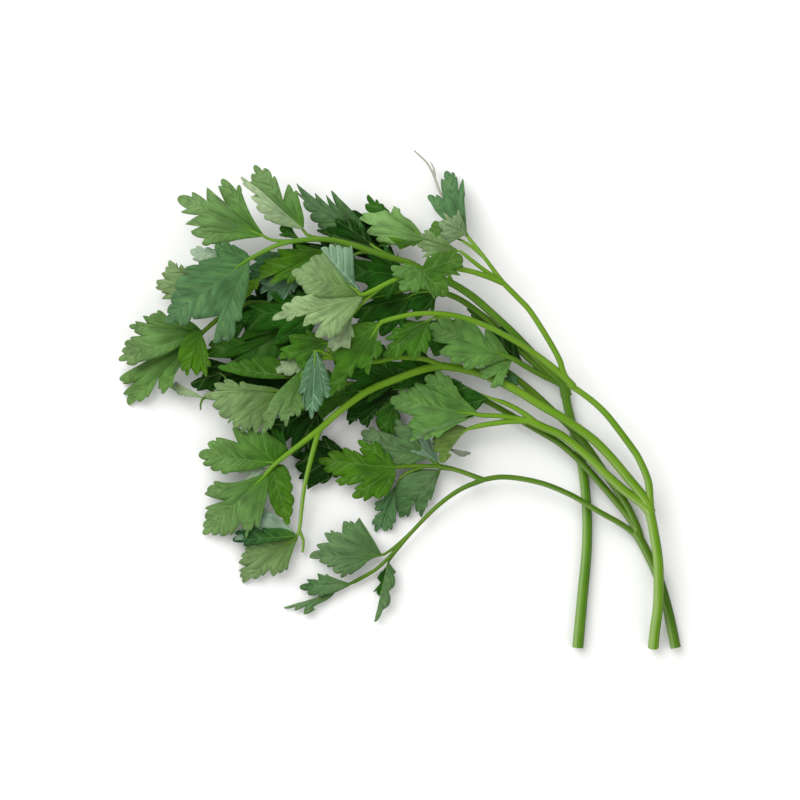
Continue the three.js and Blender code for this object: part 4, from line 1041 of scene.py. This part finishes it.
FRONT_LEAFLETS = [
    dict(base=(467, 236, 15), tip=(450, 171, 2), tone="bluish",
         lobes=[[(463, 178)], [(457, 176), (453, 171), (446, 170), (441, 178)], [(437, 194), (428, 195)]],
         cuts=[(458, 193), (444, 200)],
         sides=[[(464, 222), (462, 206), (465, 193)], [(458, 230), (444, 220), (434, 209)]]),
    dict(base=(467, 236, 16), tip=(440, 225, 12), tone="soft", turned=1,
         lobes=[[(458, 210), (453, 216), (443, 213)], [(439, 222), (440, 234), (441, 245), (449, 244)]],
         cuts=[(446, 219)], sides=[[(465, 226), (461, 216)], [(459, 236), (453, 239)]]),
    dict(base=(452, 238, 12), tip=(431, 228, 9), tone="mid", notch=0.15,
         lobes=[[(440, 221), (434, 221), (429, 229), (431, 238)]]),
    dict(base=(460, 252, 22), tip=(419, 246, 20), tone="soft",
         lobes=[[(438, 236), (424, 231), (419, 237)], [(417, 245), (421, 252)], [(422, 258), (431, 258)]],
         cuts=[(426, 240), (428, 252)]),
    dict(base=(421, 272, 34.4), tip=(464, 268, 31.6), tone="mid", notch=0.2,
         lobes=[[(428, 258), (442, 254), (456, 252), (462, 259), (463, 268)], [(460, 277), (450, 276)],
                [(450, 286), (446, 297), (436, 299)]],
         cuts=[(454, 271), (444, 278)]),
    dict(base=(421, 274, 34.6), tip=(390, 270, 36.6), tone="leafy", notch=0.3,
         lobes=[[(403, 265), (391, 268), (392, 277)], [(398, 284), (400, 291), (412, 294), (424, 291)],
                [(434, 300)]],
         cuts=[(404, 281), (426, 288)], sides=[[(414, 267)], [(431, 286)]]),
    dict(base=(364, 296, 38), tip=(300, 255, 36), tone="streaked", arch=34, veined=1,
         lobes=[[(354, 256), (352, 247), (345, 249), (338, 247), (331, 246), (322, 250)]],
         sides=[[(356, 284), (354, 268)], [(352, 288), (340, 274)]]),
    dict(base=(364, 295, 37.3), tip=(300, 268, 35), tone="soft", arch=34, notch=0.2,
         lobes=[[(324, 254), (312, 259), (303, 267), (293, 273), (297, 282), (304, 290)]],
         sides=[[(352, 280), (338, 264)], [(350, 298), (322, 299), (308, 295)]]),
    dict(base=(364, 297, 37), tip=(277, 320, 33), tone="pale", arch=34, notch=0.3,
         lobes=[[(293, 301), (283, 308), (274, 321), (288, 322), (298, 318)], [(304, 327), (314, 326)],
                [(316, 337), (330, 340), (338, 336)]],
         cuts=[(308, 315), (324, 322)], sides=[[(346, 292), (318, 294)], [(356, 312), (346, 326)]]),
    dict(base=(352, 318, 33), tip=(338, 352, 30), tone="pale", turned=1,
         lobes=[[(330, 336), (329, 348), (334, 352)], [(350, 349), (354, 338)]], cuts=[(341, 347)]),
    dict(base=(381, 323, 30), tip=(335, 392, 21), tone="verdant",
         lobes=[[(375, 343), (376, 360), (369, 375), (361, 369)],
                [(352, 378), (338, 392), (331, 397), (329, 385)], [(331, 354), (329, 343)]],
         cuts=[(355, 366), (337, 364)], sides=[[(376, 330)], [(362, 323), (345, 329)]]),
    dict(base=(430, 320, 27), tip=(384, 342, 25), tone="ripe",
         lobes=[[(402, 325), (391, 332), (385, 340)], [(386, 347), (383, 356), (395, 361)],
                [(412, 361), (425, 354), (430, 342)]],
         cuts=[(396, 341), (406, 350)]),
    dict(base=(479, 414, 12.5), tip=(391, 406, 10), tone="leafy", notch=0.28,
         lobes=[[(455, 385), (447, 375), (436, 371), (425, 377), (425, 385)],
                [(415, 382), (408, 390), (399, 391), (390, 400), (394, 409)],
                [(408, 425), (412, 434), (410, 442)], [(424, 440), (436, 438)]],
         cuts=[(436, 390), (414, 416), (424, 424)],
         sides=[[(470, 405), (461, 396)], [(462, 422), (450, 428)]]),
    dict(base=(467, 428, 10.6), tip=(439, 462, 9), tone="olive",
         lobes=[[(440, 430), (432, 441), (434, 452), (441, 463), (448, 453)]],
         sides=[[(456, 425)], [(462, 434), (452, 443)]]),
    dict(base=(490, 398, 11), tip=(452, 379, 8.5), tone="dark", notch=0.2,
         lobes=[[(470, 390), (462, 385), (451, 378), (455, 390)], [(463, 405), (474, 411)]],
         cuts=[(462, 396)]),
    dict(base=(448, 448, 9), tip=(471, 453, 7.5), tone="dried", fold=0.3, lobes=[[(471, 453)]],
         sides=[[(458, 451), (466, 451)], [(454, 453), (463, 457)]]),
    dict(base=(277, 463, 9.8), tip=(198, 456, 5), tone="juicy",
         lobes=[[(262, 430), (248, 427), (232, 428)],
                [(216, 437), (207, 443), (198, 455), (202, 464), (210, 469), (221, 473)]],
         cuts=[(238, 443)], sides=[[(289, 453), (288, 448), (275, 438)], [(256, 469), (238, 472)]]),
    dict(base=(288, 456, 9), tip=(262, 434, 6), tone="dark",
         lobes=[[(282, 430), (271, 428), (259, 436), (257, 447)]]),
    dict(base=(269, 472, 8.8), tip=(203, 532, 1.6), roll=10, tone="fresh",
         lobes=[[(213, 482), (206, 490), (204, 495)],
                [(204, 508), (204, 518), (202, 527), (202, 535), (212, 536), (221, 537), (231, 536)],
                [(243, 530), (246, 538), (251, 531)], [(258, 528)]],
         cuts=[(225, 501), (241, 522), (254, 524)],
         sides=[[(250, 479), (230, 483)], [(268, 490), (264, 508)]]),
    dict(base=(272, 469, 8.8), tip=(287, 524, 8.4), tone="sunlit", notch=0.12,
         lobes=[[(291, 480), (292, 491), (293, 505), (291, 516), (288, 525), (280, 517)]],
         sides=[[(281, 464), (288, 470)], [(268, 478), (269, 499), (274, 510)]]),
    dict(base=(299, 535, 4.6), tip=(240, 581, 1.4), tone="soft",
         lobes=[[(254, 541), (244, 550), (240, 557), (238, 564)],
                [(238, 571), (239, 578), (242, 584), (253, 580), (262, 577)],
                [(272, 577), (279, 574), (286, 571)]],
         cuts=[(246, 567), (269, 569)], sides=[[(285, 540), (268, 540)], [(293, 550), (289, 562)]]),
    dict(base=(296, 534, 6), tip=(233, 540, 4.6), tone="clouded", turned=1,
         lobes=[[(264, 508)], [(250, 524), (240, 530), (234, 540)]], cuts=[(254, 522)],
         sides=[[(284, 523), (272, 514)], [(280, 538), (256, 540)]]),
    dict(base=(304, 368, 18), tip=(286, 427, 16.8), tone="fresh",
         lobes=[[(304, 409), (298, 417), (291, 416)], [(287, 427), (281, 421)],
                [(271, 430), (262, 434), (263, 420)]],
         cuts=[(290, 411), (278, 411)], sides=[[(305, 388)], [(288, 382), (273, 398)]]),
    dict(base=(316, 350, 21), tip=(311, 417, 17.6), tone="steel", veined=1,
         lobes=[[(335, 393), (328, 398)], [(322, 406), (317, 412), (312, 419), (306, 411)],
                [(303, 406), (300, 394)]],
         cuts=[(324, 397), (304, 402)], sides=[[(323, 362), (330, 378)], [(309, 360), (302, 376)]]),
    dict(base=(330, 342, 20), tip=(281, 354, 17.4), tone="ripe",
         lobes=[[(306, 330), (289, 336)], [(280, 349), (280, 358), (288, 362)], [(300, 368), (314, 370)]],
         cuts=[(292, 345), (294, 358)]),
    dict(base=(306, 360, 17), tip=(276, 372, 14), tone="pale", turned=1, notch=0.3,
         lobes=[[(290, 361), (280, 362), (275, 372), (285, 375), (298, 375)]]),
    dict(base=(356, 392, 9), tip=(292, 398, 8), tone="ripe",
         lobes=[[(326, 370), (304, 376)], [(292, 390), (288, 402), (300, 412)], [(322, 420), (340, 408)]],
         cuts=[(310, 388), (314, 406)]),
    dict(base=(297, 536, 6.6), tip=(232, 540, 5.6), tone="inky",
         lobes=[[(262, 529), (246, 528), (234, 533), (232, 541), (243, 546), (254, 545)]],
         sides=[[(284, 529)], [(284, 540), (268, 543)]]),
    dict(base=(266, 468, 8), tip=(240, 474, 6), tone="misty", turned=1, notch=0.2,
         lobes=[[(255, 465), (245, 467), (238, 474)], [(244, 481), (256, 478)]]),
]

FRONT_STALKS = [
    dict(thick=(4.4, 4),
         route=[(654.3, 649, 2.4), (655.8, 630, 5), (658, 612, 7.4), (659, 590, 9), (658.3, 560, 9.2),
                (654, 532, 9), (650, 512, 9.2), (648.5, 503, 9.2)]),
    dict(thick=(3.2, 2.4),
         route=[(650.5, 513, 9.1), (650, 500, 9.4), (648.3, 481, 10.5), (639.5, 460, 11.5),
                (632, 448, 12), (612.5, 422, 13.6), (602, 410, 14), (592, 401, 14.4), (580, 392, 14.7),
                (568, 384, 15)]),
    dict(thick=(2.5, 2.2),
         route=[(573, 387, 14.9), (566, 379, 15.6), (562, 370, 16.3), (559, 360, 16.8),
                (548.3, 340.6, 18.2), (530, 312, 19.8), (518, 299, 20.5), (502, 283, 21.5)]),
    dict(thick=(1.8, 1.3), route=[(502, 283, 21.5), (484, 258, 19), (467, 236, 15)]),
    dict(thick=(1.3, 1.2), route=[(467, 236, 15), (456, 216, 9.5), (446, 200, 7.4)]),
    dict(thick=(1.9, 1.5), route=[(502, 283, 21.5), (480, 268, 22), (460, 252, 22)]),
    dict(thick=(2.3, 1.6),
         route=[(502, 283, 21.5), (483, 276, 24), (464, 271, 27.5), (440, 269, 31), (418, 274, 33.5),
                (395, 281, 35.5), (364, 296, 37.5)]),
    dict(thick=(2.7, 1.8),
         route=[(573, 387, 14.9), (565, 378, 15.8), (550, 365.5, 17.4), (540, 358, 18.6), (530, 351, 20),
                (520, 344.5, 21.5), (505, 336, 23), (490, 328.5, 24.5), (470, 320.5, 26.3),
                (450, 315.5, 28), (425, 314, 29.5), (402, 317, 30), (381, 323, 30)]),
    dict(thick=(4, 3.3),
         route=[(650.5, 513, 9.1), (646.5, 502, 9.6), (638, 490, 10.4), (629.5, 480, 11),
                (613, 460, 11.8), (596.3, 442.5, 12.4), (579.5, 429.5, 12.7), (560, 416.5, 12.8),
                (540, 405, 12.8), (520, 392.5, 12.7), (500, 382, 12.6), (480, 373.5, 12.5),
                (460, 368.5, 12.4), (442, 366, 12.5)]),
    dict(thick=(2.2, 1.4),
         route=[(442, 366, 12.5), (424, 359, 14), (396, 358, 15.5), (375, 362, 17), (345, 360, 18.5),
                (316, 350, 20.5)]),
    dict(thick=(3.2, 2.7),
         route=[(442, 366, 12.5), (424, 369, 12.8), (396, 379, 13.5), (368, 391, 14), (340, 411, 14),
                (319, 430, 13.4)]),
    dict(thick=(2.4, 1.7),
         route=[(319, 430, 13.4), (300, 444.5, 12.4), (280, 460, 10.8), (270, 469, 9.4)]),
    dict(thick=(2.2, 1.3),
         route=[(319, 430, 13.4), (312, 455, 12), (303.8, 490, 9), (299.8, 525, 5.8), (297.6, 535, 5.2)]),
    dict(thick=(1.3, 1), route=[(298.8, 531, 5.4), (303, 541, 3.6), (302, 553, 2.4)]),
    dict(thick=(3.8, 3.2),
         route=[(650.5, 513, 9.1), (644, 505, 9.6), (636, 499, 10), (625.5, 491.5, 10.6),
                (614.5, 482, 11.1), (603.5, 472, 11.5), (594, 462.5, 11.6), (584.5, 453.5, 11.6),
                (571.5, 442.5, 11.4), (558, 433.5, 11.2), (545, 428, 10.9), (530, 421, 10.8)]),
    dict(thick=(2.4, 2),
         route=[(530, 421, 10.8), (510, 421.4, 11), (490, 424, 11), (478, 426.2, 10.9), (467, 429, 10.6)]),
    dict(thick=(0.9, 0.7),
         route=[(467, 429, 10.2), (459, 435, 9.2), (452, 442, 8.4), (448.5, 447.5, 8.8)]),
    dict(thick=(2.2, 1.8),
         route=[(530, 421, 10.8), (510, 417.3, 11.5), (495, 415.8, 12), (481, 415.4, 12.5)]),
    dict(thick=(2.4, 1.6), route=[(538, 425, 10.8), (524, 413.5, 10.9), (507, 404, 11), (490, 398, 11)]),
]

front_leaflets = blades("front_leaflets", FRONT_LEAFLETS, leaf_skins, seed=2)
# A stalk paler and yellower than the others; its first colour is the painted highlight
# on the side that faces the light.
front_skin = stalk_skin("pale_parsley_stalk", "#A5BF7A", "#7AA32A", "#639310", "#4A760A")
front_lines = stalk_lines(FRONT_STALKS, FRONT_LEAFLETS)
front_stalks = swept("front_stalks", front_lines, front_skin, cut_end)

# One branch ends in a thread that has dried, with a scrap of sheath at its bend. It is
# dull and grey, and each part tapers between two thicknesses in mm.
# Its first colour is the painted highlight on the side that faces the light.
dried_skin = stalk_skin("dried_parsley_thread", "#C6C7BC", "#BDBDB0", "#A3A293", "#8B897C")
DRIED_PARTS = [
    dict(thick=(1.2, 0.6),
         route=[(446, 200, 7.4), (440, 192, 7), (436.5, 182, 6.2), (433, 173, 5.8),
                (426.5, 161.5, 5.4), (414, 149.6, 4.8)]),
    dict(thick=(1.3, 0.3), route=[(434.5, 176, 6), (434, 168, 6.6), (430.5, 161, 6.8)]),
]
DRIED_POINTS = 24
dried_lines = []
for part in DRIED_PARTS:
    line = through([placed(*point) for point in part["route"]], CURVE_STEPS)
    radius = np.linspace(*part["thick"], DRIED_POINTS) * MM / 2
    dried_lines.append((spread_evenly(line, DRIED_POINTS), radius))
dried_tip = swept("front_dried_tip", dried_lines, dried_skin, dried_skin)
for piece in (front_leaflets, front_stalks, dried_tip):
    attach(piece, "root")
    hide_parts("frond_front")

# ---------------------------------------------------------------------------
# The right frond
#
# A third leaf of the plant, grown as one piece and cut with a knife. Its stem lies on
# the table, and its leaflets reach furthest to the left.

RIGHT_LEAFLETS = [
    dict(base=(214, 300, 12), tip=(155, 284, 6), tone="soft",
         lobes=[[(195, 274), (190, 270)], [(186, 269), (181, 264)],
                [(176, 262), (169, 260), (165, 267), (161, 273)], [(156, 280), (155, 287), (161, 292)],
                [(161, 299), (172, 300)]],
         cuts=[(187, 273), (178, 269), (165, 279), (166, 294)]),
    dict(base=(396, 468, 6.8), tip=(319, 457, 4.8), tone="sunlit",
         lobes=[[(388, 452), (372, 441), (358, 440), (359, 449)],
                [(353, 450), (343, 448), (327, 453), (318, 460), (323, 470), (332, 476)],
                [(335, 481), (338, 485), (347, 486)], [(354, 489), (352, 497), (364, 502)],
                [(377, 499), (386, 497)]],
         cuts=[(365, 457), (343, 476), (366, 480), (373, 496)], sides=[[(392, 460)], [(394, 482)]]),
    dict(base=(431, 459, 5), tip=(361, 433, 3), tone="grey",
         lobes=[[(407, 424), (396, 419), (393, 427)], [(380, 431), (369, 427), (361, 432), (362, 440)],
                [(376, 450), (390, 464), (404, 466)]],
         cuts=[(399, 438), (376, 444)]),
    dict(base=(441, 470, 4), tip=(405, 518, 1.6), tone="slate",
         lobes=[[(397, 512), (400, 518), (407, 518), (413, 507)], [(416, 512), (422, 518), (427, 508)],
                [(431, 501)]],
         cuts=[(415, 498), (428, 497)],
         sides=[[(415, 471), (397, 484), (396, 500)], [(437, 480), (434, 492)]]),
    dict(base=(398, 484, 3.6), tip=(380, 533, 1.2), tone="bluish",
         lobes=[[(384, 498), (374, 505), (375, 511)], [(374, 517), (372, 525), (376, 533)],
                [(384, 532), (391, 531), (394, 524)]],
         cuts=[(383, 511), (381, 527)]),
    dict(base=(382, 556, 3.8), tip=(309, 558, 2.6), tone="grey",
         lobes=[[(359, 518)], [(350, 521), (343, 522)], [(336, 532), (330, 531), (324, 534)],
                [(316, 545), (309, 558), (319, 562), (327, 568)], [(333, 572), (340, 578), (349, 575)]],
         cuts=[(355, 524), (342, 534), (329, 543), (333, 567)],
         sides=[[(375, 543), (367, 530)], [(370, 560), (360, 569)]]),
    dict(base=(350, 584, 2.6), tip=(299, 588, 2), tone="slate",
         lobes=[[(325, 575), (317, 574)], [(306, 580), (299, 588), (307, 595), (318, 597)]],
         cuts=[(319, 581)], sides=[[(340, 581)], [(340, 591), (330, 595)]]),
    dict(base=(336, 592, 1.4), tip=(283, 609, 0.9), tone="grey",
         lobes=[[(283, 609), (294, 612)], [(303, 615), (312, 608)]], cuts=[(305, 607)],
         sides=[[(322, 598), (302, 603)], [(328, 600)]]),
    dict(base=(388, 563, 2.4), tip=(375, 622, 1.2), tone="grey", fold=0.3, notch=0.1,
         lobes=[[(396, 573), (391, 590), (386, 609), (374, 623), (378, 612)]],
         sides=[[(391, 567)], [(384, 578), (380, 598)]]),
    dict(base=(387, 566, 1.6), tip=(374, 594, 0.9), tone="dark",
         lobes=[[(384, 575), (377, 579)], [(373, 593), (380, 597)]], cuts=[(381, 584)]),
    dict(base=(284, 391, 13.4), tip=(207, 393, 10.4), roll=-8, tone="soft",
         lobes=[[(240, 382), (224, 380), (214, 384)], [(204, 394), (212, 406), (219, 415), (228, 424)],
                [(233, 426), (241, 432), (249, 431)], [(256, 434), (262, 425)]],
         cuts=[(218, 391), (233, 419), (252, 426)],
         sides=[[(270, 387), (255, 385)], [(279, 402), (271, 414)]]),
    dict(base=(203, 332, 12.6), tip=(123, 353, 8.4), tone="fresh",
         lobes=[[(168, 316), (158, 310), (150, 315), (143, 316)], [(135, 321), (129, 326), (134, 332)],
                [(130, 337), (124, 343), (121, 351), (118, 360), (126, 364)]],
         cuts=[(148, 324), (142, 336)], sides=[[(192, 322), (180, 318)], [(170, 352), (145, 361)]]),
    dict(base=(199, 337, 10.4), tip=(128, 403, 1.7), roll=12, tone="juicy",
         lobes=[[(118, 379), (122, 384)], [(121, 394), (127, 405), (137, 402), (147, 398)],
                [(158, 389), (162, 394), (171, 389)]],
         cuts=[(134, 382), (159, 374)],
         sides=[[(170, 347), (142, 363), (127, 371)], [(182, 358), (175, 374)]]),
    dict(base=(200, 330, 14.4), tip=(188, 376, 12), tone="sunlit",
         lobes=[[(179, 362), (182, 371), (188, 376)], [(197, 376)], [(206, 377), (211, 367), (209, 357)]],
         cuts=[(191, 367), (201, 370)], sides=[[(188, 334), (179, 350)], [(206, 344)]]),
    dict(base=(222, 372, 9), tip=(190, 384, 6), tone="deep", notch=0.2,
         lobes=[[(212, 371), (202, 374), (190, 384), (197, 391)], [(212, 392)]], cuts=[(206, 389)]),
    dict(base=(298, 326, 9.4), tip=(214, 347, 8), tone="shaded",
         lobes=[[(276, 308), (250, 322)], [(226, 336), (208, 344), (200, 356)],
                [(218, 368), (250, 374), (284, 364)]],
         cuts=[(240, 338), (238, 358)]),
    dict(base=(304, 378, 12), tip=(218, 366, 11), tone="ripe", notch=0.2,
         lobes=[[(252, 358), (240, 361), (228, 363), (218, 367)]],
         sides=[[(284, 362), (268, 356)], [(268, 379), (238, 375)]]),
    dict(base=(203, 398, 9), tip=(172, 386, 3), tone="pale", turned=1, notch=0.1,
         lobes=[[(184, 396), (176, 393), (171, 387), (174, 382)]], sides=[[(195, 397)], [(190, 390)]]),
    dict(base=(400, 384, 5.4), tip=(352, 423, 4), tone="deep",
         lobes=[[(338, 398), (340, 409)], [(346, 420), (349, 425), (356, 422)],
                [(361, 424), (366, 428), (372, 420)], [(378, 412), (390, 400)]],
         cuts=[(348, 408), (358, 417), (376, 407)]),
    dict(base=(404, 382, 8.4), tip=(336, 364, 9), tone="dark",
         lobes=[[(382, 344), (356, 342)], [(334, 358), (332, 374)], [(340, 394), (366, 402)]],
         cuts=[(358, 360), (358, 380)]),
    dict(base=(446, 384, 7.4), tip=(392, 366, 7.4), tone="dark",
         lobes=[[(422, 350), (400, 348)], [(382, 362), (380, 376)], [(392, 390), (414, 394)]],
         cuts=[(402, 362), (402, 380)]),
    dict(base=(328, 398, 7.6), tip=(271, 436, 4), tone="deep",
         lobes=[[(290, 398), (270, 406)], [(266, 424), (264, 438), (276, 448)],
                [(291, 456), (308, 450), (320, 434)]],
         cuts=[(284, 416), (292, 436)]),
    dict(base=(362, 460, 3.6), tip=(297, 474, 2), tone="deep",
         lobes=[[(322, 436), (304, 440)], [(290, 450), (294, 466), (298, 480)],
                [(307, 490), (320, 484), (334, 478)]],
         cuts=[(306, 456), (308, 478)]),
    dict(base=(306, 387, 6), tip=(232, 382, 5), tone="deep",
         lobes=[[(276, 360), (248, 364)], [(226, 374), (222, 386), (232, 392)], [(256, 402), (286, 398)]],
         cuts=[(252, 374), (252, 390)]),
    dict(base=(298, 307, 6), tip=(236, 300, 5), tone="deep",
         lobes=[[(276, 284), (254, 282)], [(240, 292), (234, 306), (240, 318)], [(258, 334), (284, 326)]],
         cuts=[(256, 296), (258, 314)]),
    dict(base=(398, 388, 5), tip=(384, 438, 3), tone="shaded", notch=0.2,
         lobes=[[(374, 414), (379, 430), (384, 438)], [(393, 436), (400, 420), (398, 410)]],
         cuts=[(389, 432)]),
    dict(base=(440, 465, 5.6), tip=(417, 434, 4), tone="streaked", veined=1,
         lobes=[[(410, 450), (408, 438), (417, 433)], [(427, 434), (434, 442), (436, 452)]],
         cuts=[(422, 440)]),
    dict(base=(272, 390, 6), tip=(208, 364, 4), tone="deep",
         lobes=[[(246, 350), (224, 350)], [(208, 358), (204, 368), (208, 378)], [(226, 388), (248, 384)]]),
    dict(base=(519, 384, 9), tip=(507, 380, 10), tone="steel", notch=0.2,
         lobes=[[(516, 376), (510, 374), (504, 380), (507, 386), (514, 387)]]),
    dict(base=(250, 304, 9.6), tip=(232, 336, 7), tone="dark",
         lobes=[[(236, 306), (228, 318)], [(228, 332), (234, 342)], [(246, 336), (256, 322)]]),
]

RIGHT_STALKS = [
    dict(thick=(4.3, 3.7),
         route=[(677, 649, 2.2), (669.3, 612, 2.2), (659.5, 578, 2.1), (648.5, 554, 2.3),
                (641.5, 541, 2.6), (636, 532, 3)]),
    dict(thick=(2.4, 2.1),
         route=[(641, 541, 2.6), (633.5, 533, 3.2), (620, 523.5, 4.8), (600, 512.3, 7), (585, 503.2, 7.7),
                (570, 494.6, 7.7), (545, 484.3, 7.2), (520, 478.7, 7), (500, 477.3, 7.2), (483, 480, 7.4)]),
    dict(thick=(2, 1.6),
         route=[(483, 480, 7.4), (465, 473, 6.8), (452, 469, 6.5), (442, 467, 6.2), (420, 466, 6.2),
                (398, 467, 6.8)]),
    dict(thick=(2, 1.3),
         route=[(483, 480, 7.4), (460, 490, 6.8), (438, 506, 6), (416, 528, 5), (387.4, 559.6, 3.6),
                (373, 572.2, 3), (350, 585, 2.6)]),
    dict(thick=(1.3, 1.1), route=[(284, 391, 12.6), (262, 397, 10.4), (230, 399, 8.6), (203, 398, 9)]),
    dict(thick=(1.1, 0.6), route=[(206, 396.5, 8.8), (200.5, 401, 8), (200, 410, 6.4)]),
    dict(thick=(3, 1.8),
         route=[(641, 541, 2.6), (637, 530.5, 3), (627, 514.5, 4.2), (602, 485, 6.4), (581, 462, 7.2),
                (560, 443.5, 6.6), (540, 431.5, 5.6), (527, 424, 5.2), (505, 411.5, 5.4),
                (485, 400.5, 5.6), (460, 391, 5.8), (420, 386, 6.5), (380, 385, 7.6), (340, 384, 9.6),
                (310, 388, 11.8), (284, 391, 13.4)]),
    dict(thick=(3.4, 1.8),
         route=[(641, 541, 2.6), (638.5, 530, 3), (631.5, 514, 4), (624, 500, 4.8), (617.5, 490, 5.4),
                (610, 479.5, 6), (602, 468, 6.8), (594, 456, 7.1), (583, 441, 7.3), (569, 425.5, 7.3),
                (551, 409, 7.1), (541, 399.5, 6.9), (531, 390.5, 6.8), (518, 380, 6.8), (506, 371, 7),
                (480, 352, 8), (440, 330, 9), (390, 320, 10), (340, 313, 10.5), (290, 306, 11),
                (250, 303, 12), (222, 316, 12.6), (203, 332, 12.6)]),
]

right_leaflets = blades("right_leaflets", RIGHT_LEAFLETS, leaf_skins, seed=3)
# The darkest stalk of the three; its first colour is the painted highlight on the side
# that faces the light.
right_skin = stalk_skin("deep_green_parsley_stalk", "#8AA862", "#62861E", "#47700E", "#325A08")
right_lines = stalk_lines(RIGHT_STALKS, RIGHT_LEAFLETS)
right_stalks = swept("right_stalks", right_lines, right_skin, cut_end)
for piece in (right_leaflets, right_stalks):
    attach(piece, "root")
    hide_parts("frond_right")

# ---------------------------------------------------------------------------
# The table and the light
#
# The bunch lies loose on a pale, smooth, matt table. Soft light falls in from one
# side of a bright room, whose walls send light back from all round.

TABLE_REACH = 3000 * MM
TABLE_TOP = -0.5 * MM
TABLE_CLOUD = 25 * MM
TABLE_ROUGHNESS = 0.8
corners = ((-1, -1), (1, -1), (1, 1), (-1, 1))
table_corners = [(x * TABLE_REACH, y * TABLE_REACH, TABLE_TOP) for x, y in corners]
floor_mesh = bpy.data.meshes.new("table")
floor_mesh.from_pydata(table_corners, [], [(0, 1, 2, 3)])
# Smooth white laminate with a faint cloud, too matt to mirror the bunch.
table_top = bare_material("pale_matt_table")
tree = table_top.node_tree
place = node(tree, "ShaderNodeTexCoord").outputs["Object"]
cloud = node(tree, "ShaderNodeTexNoise",
             {"Vector": place, "Scale": 1 / TABLE_CLOUD, "Detail": PLAIN_DETAIL})
pale = node(tree, "ShaderNodeMix",
            {0: cloud, 6: linear("#FAFAF8"), 7: linear("#FCFCFB")}, data_type="RGBA")
top = node(tree, "ShaderNodeBsdfPrincipled",
           {"Base Color": pale.outputs[2], "Roughness": TABLE_ROUGHNESS})
node(tree, "ShaderNodeOutputMaterial", {0: top})
floor_mesh.materials.append(table_top)
table = bpy.data.objects.new("table", floor_mesh)
scene.collection.objects.link(table)


def soft_light(name, place, size, power):
    """A large square light that faces the heap."""
    data = bpy.data.lights.new(name, "AREA")
    data.size = size
    data.energy = power
    lamp = bpy.data.objects.new(name, data)
    lamp.location = place
    lamp.rotation_euler = (-lamp.location).to_track_quat("-Z", "Y").to_euler()
    scene.collection.objects.link(lamp)


# Places and sizes in metres, power in watts.
soft_light("window", place=(-0.8, 1.0, 1.3), size=1.6, power=28)
soft_light("room", place=(1.2, -0.6, 1.5), size=1.6, power=6)
ROOM_BRIGHTNESS = 0.62
world = bpy.data.worlds.new("bright_room")
world.use_nodes = True
background = world.node_tree.nodes["Background"]
background.inputs["Color"].default_value = linear("#FFFFFF")
background.inputs["Strength"].default_value = ROOM_BRIGHTNESS
scene.world = world
scene.view_settings.view_transform = "Standard"
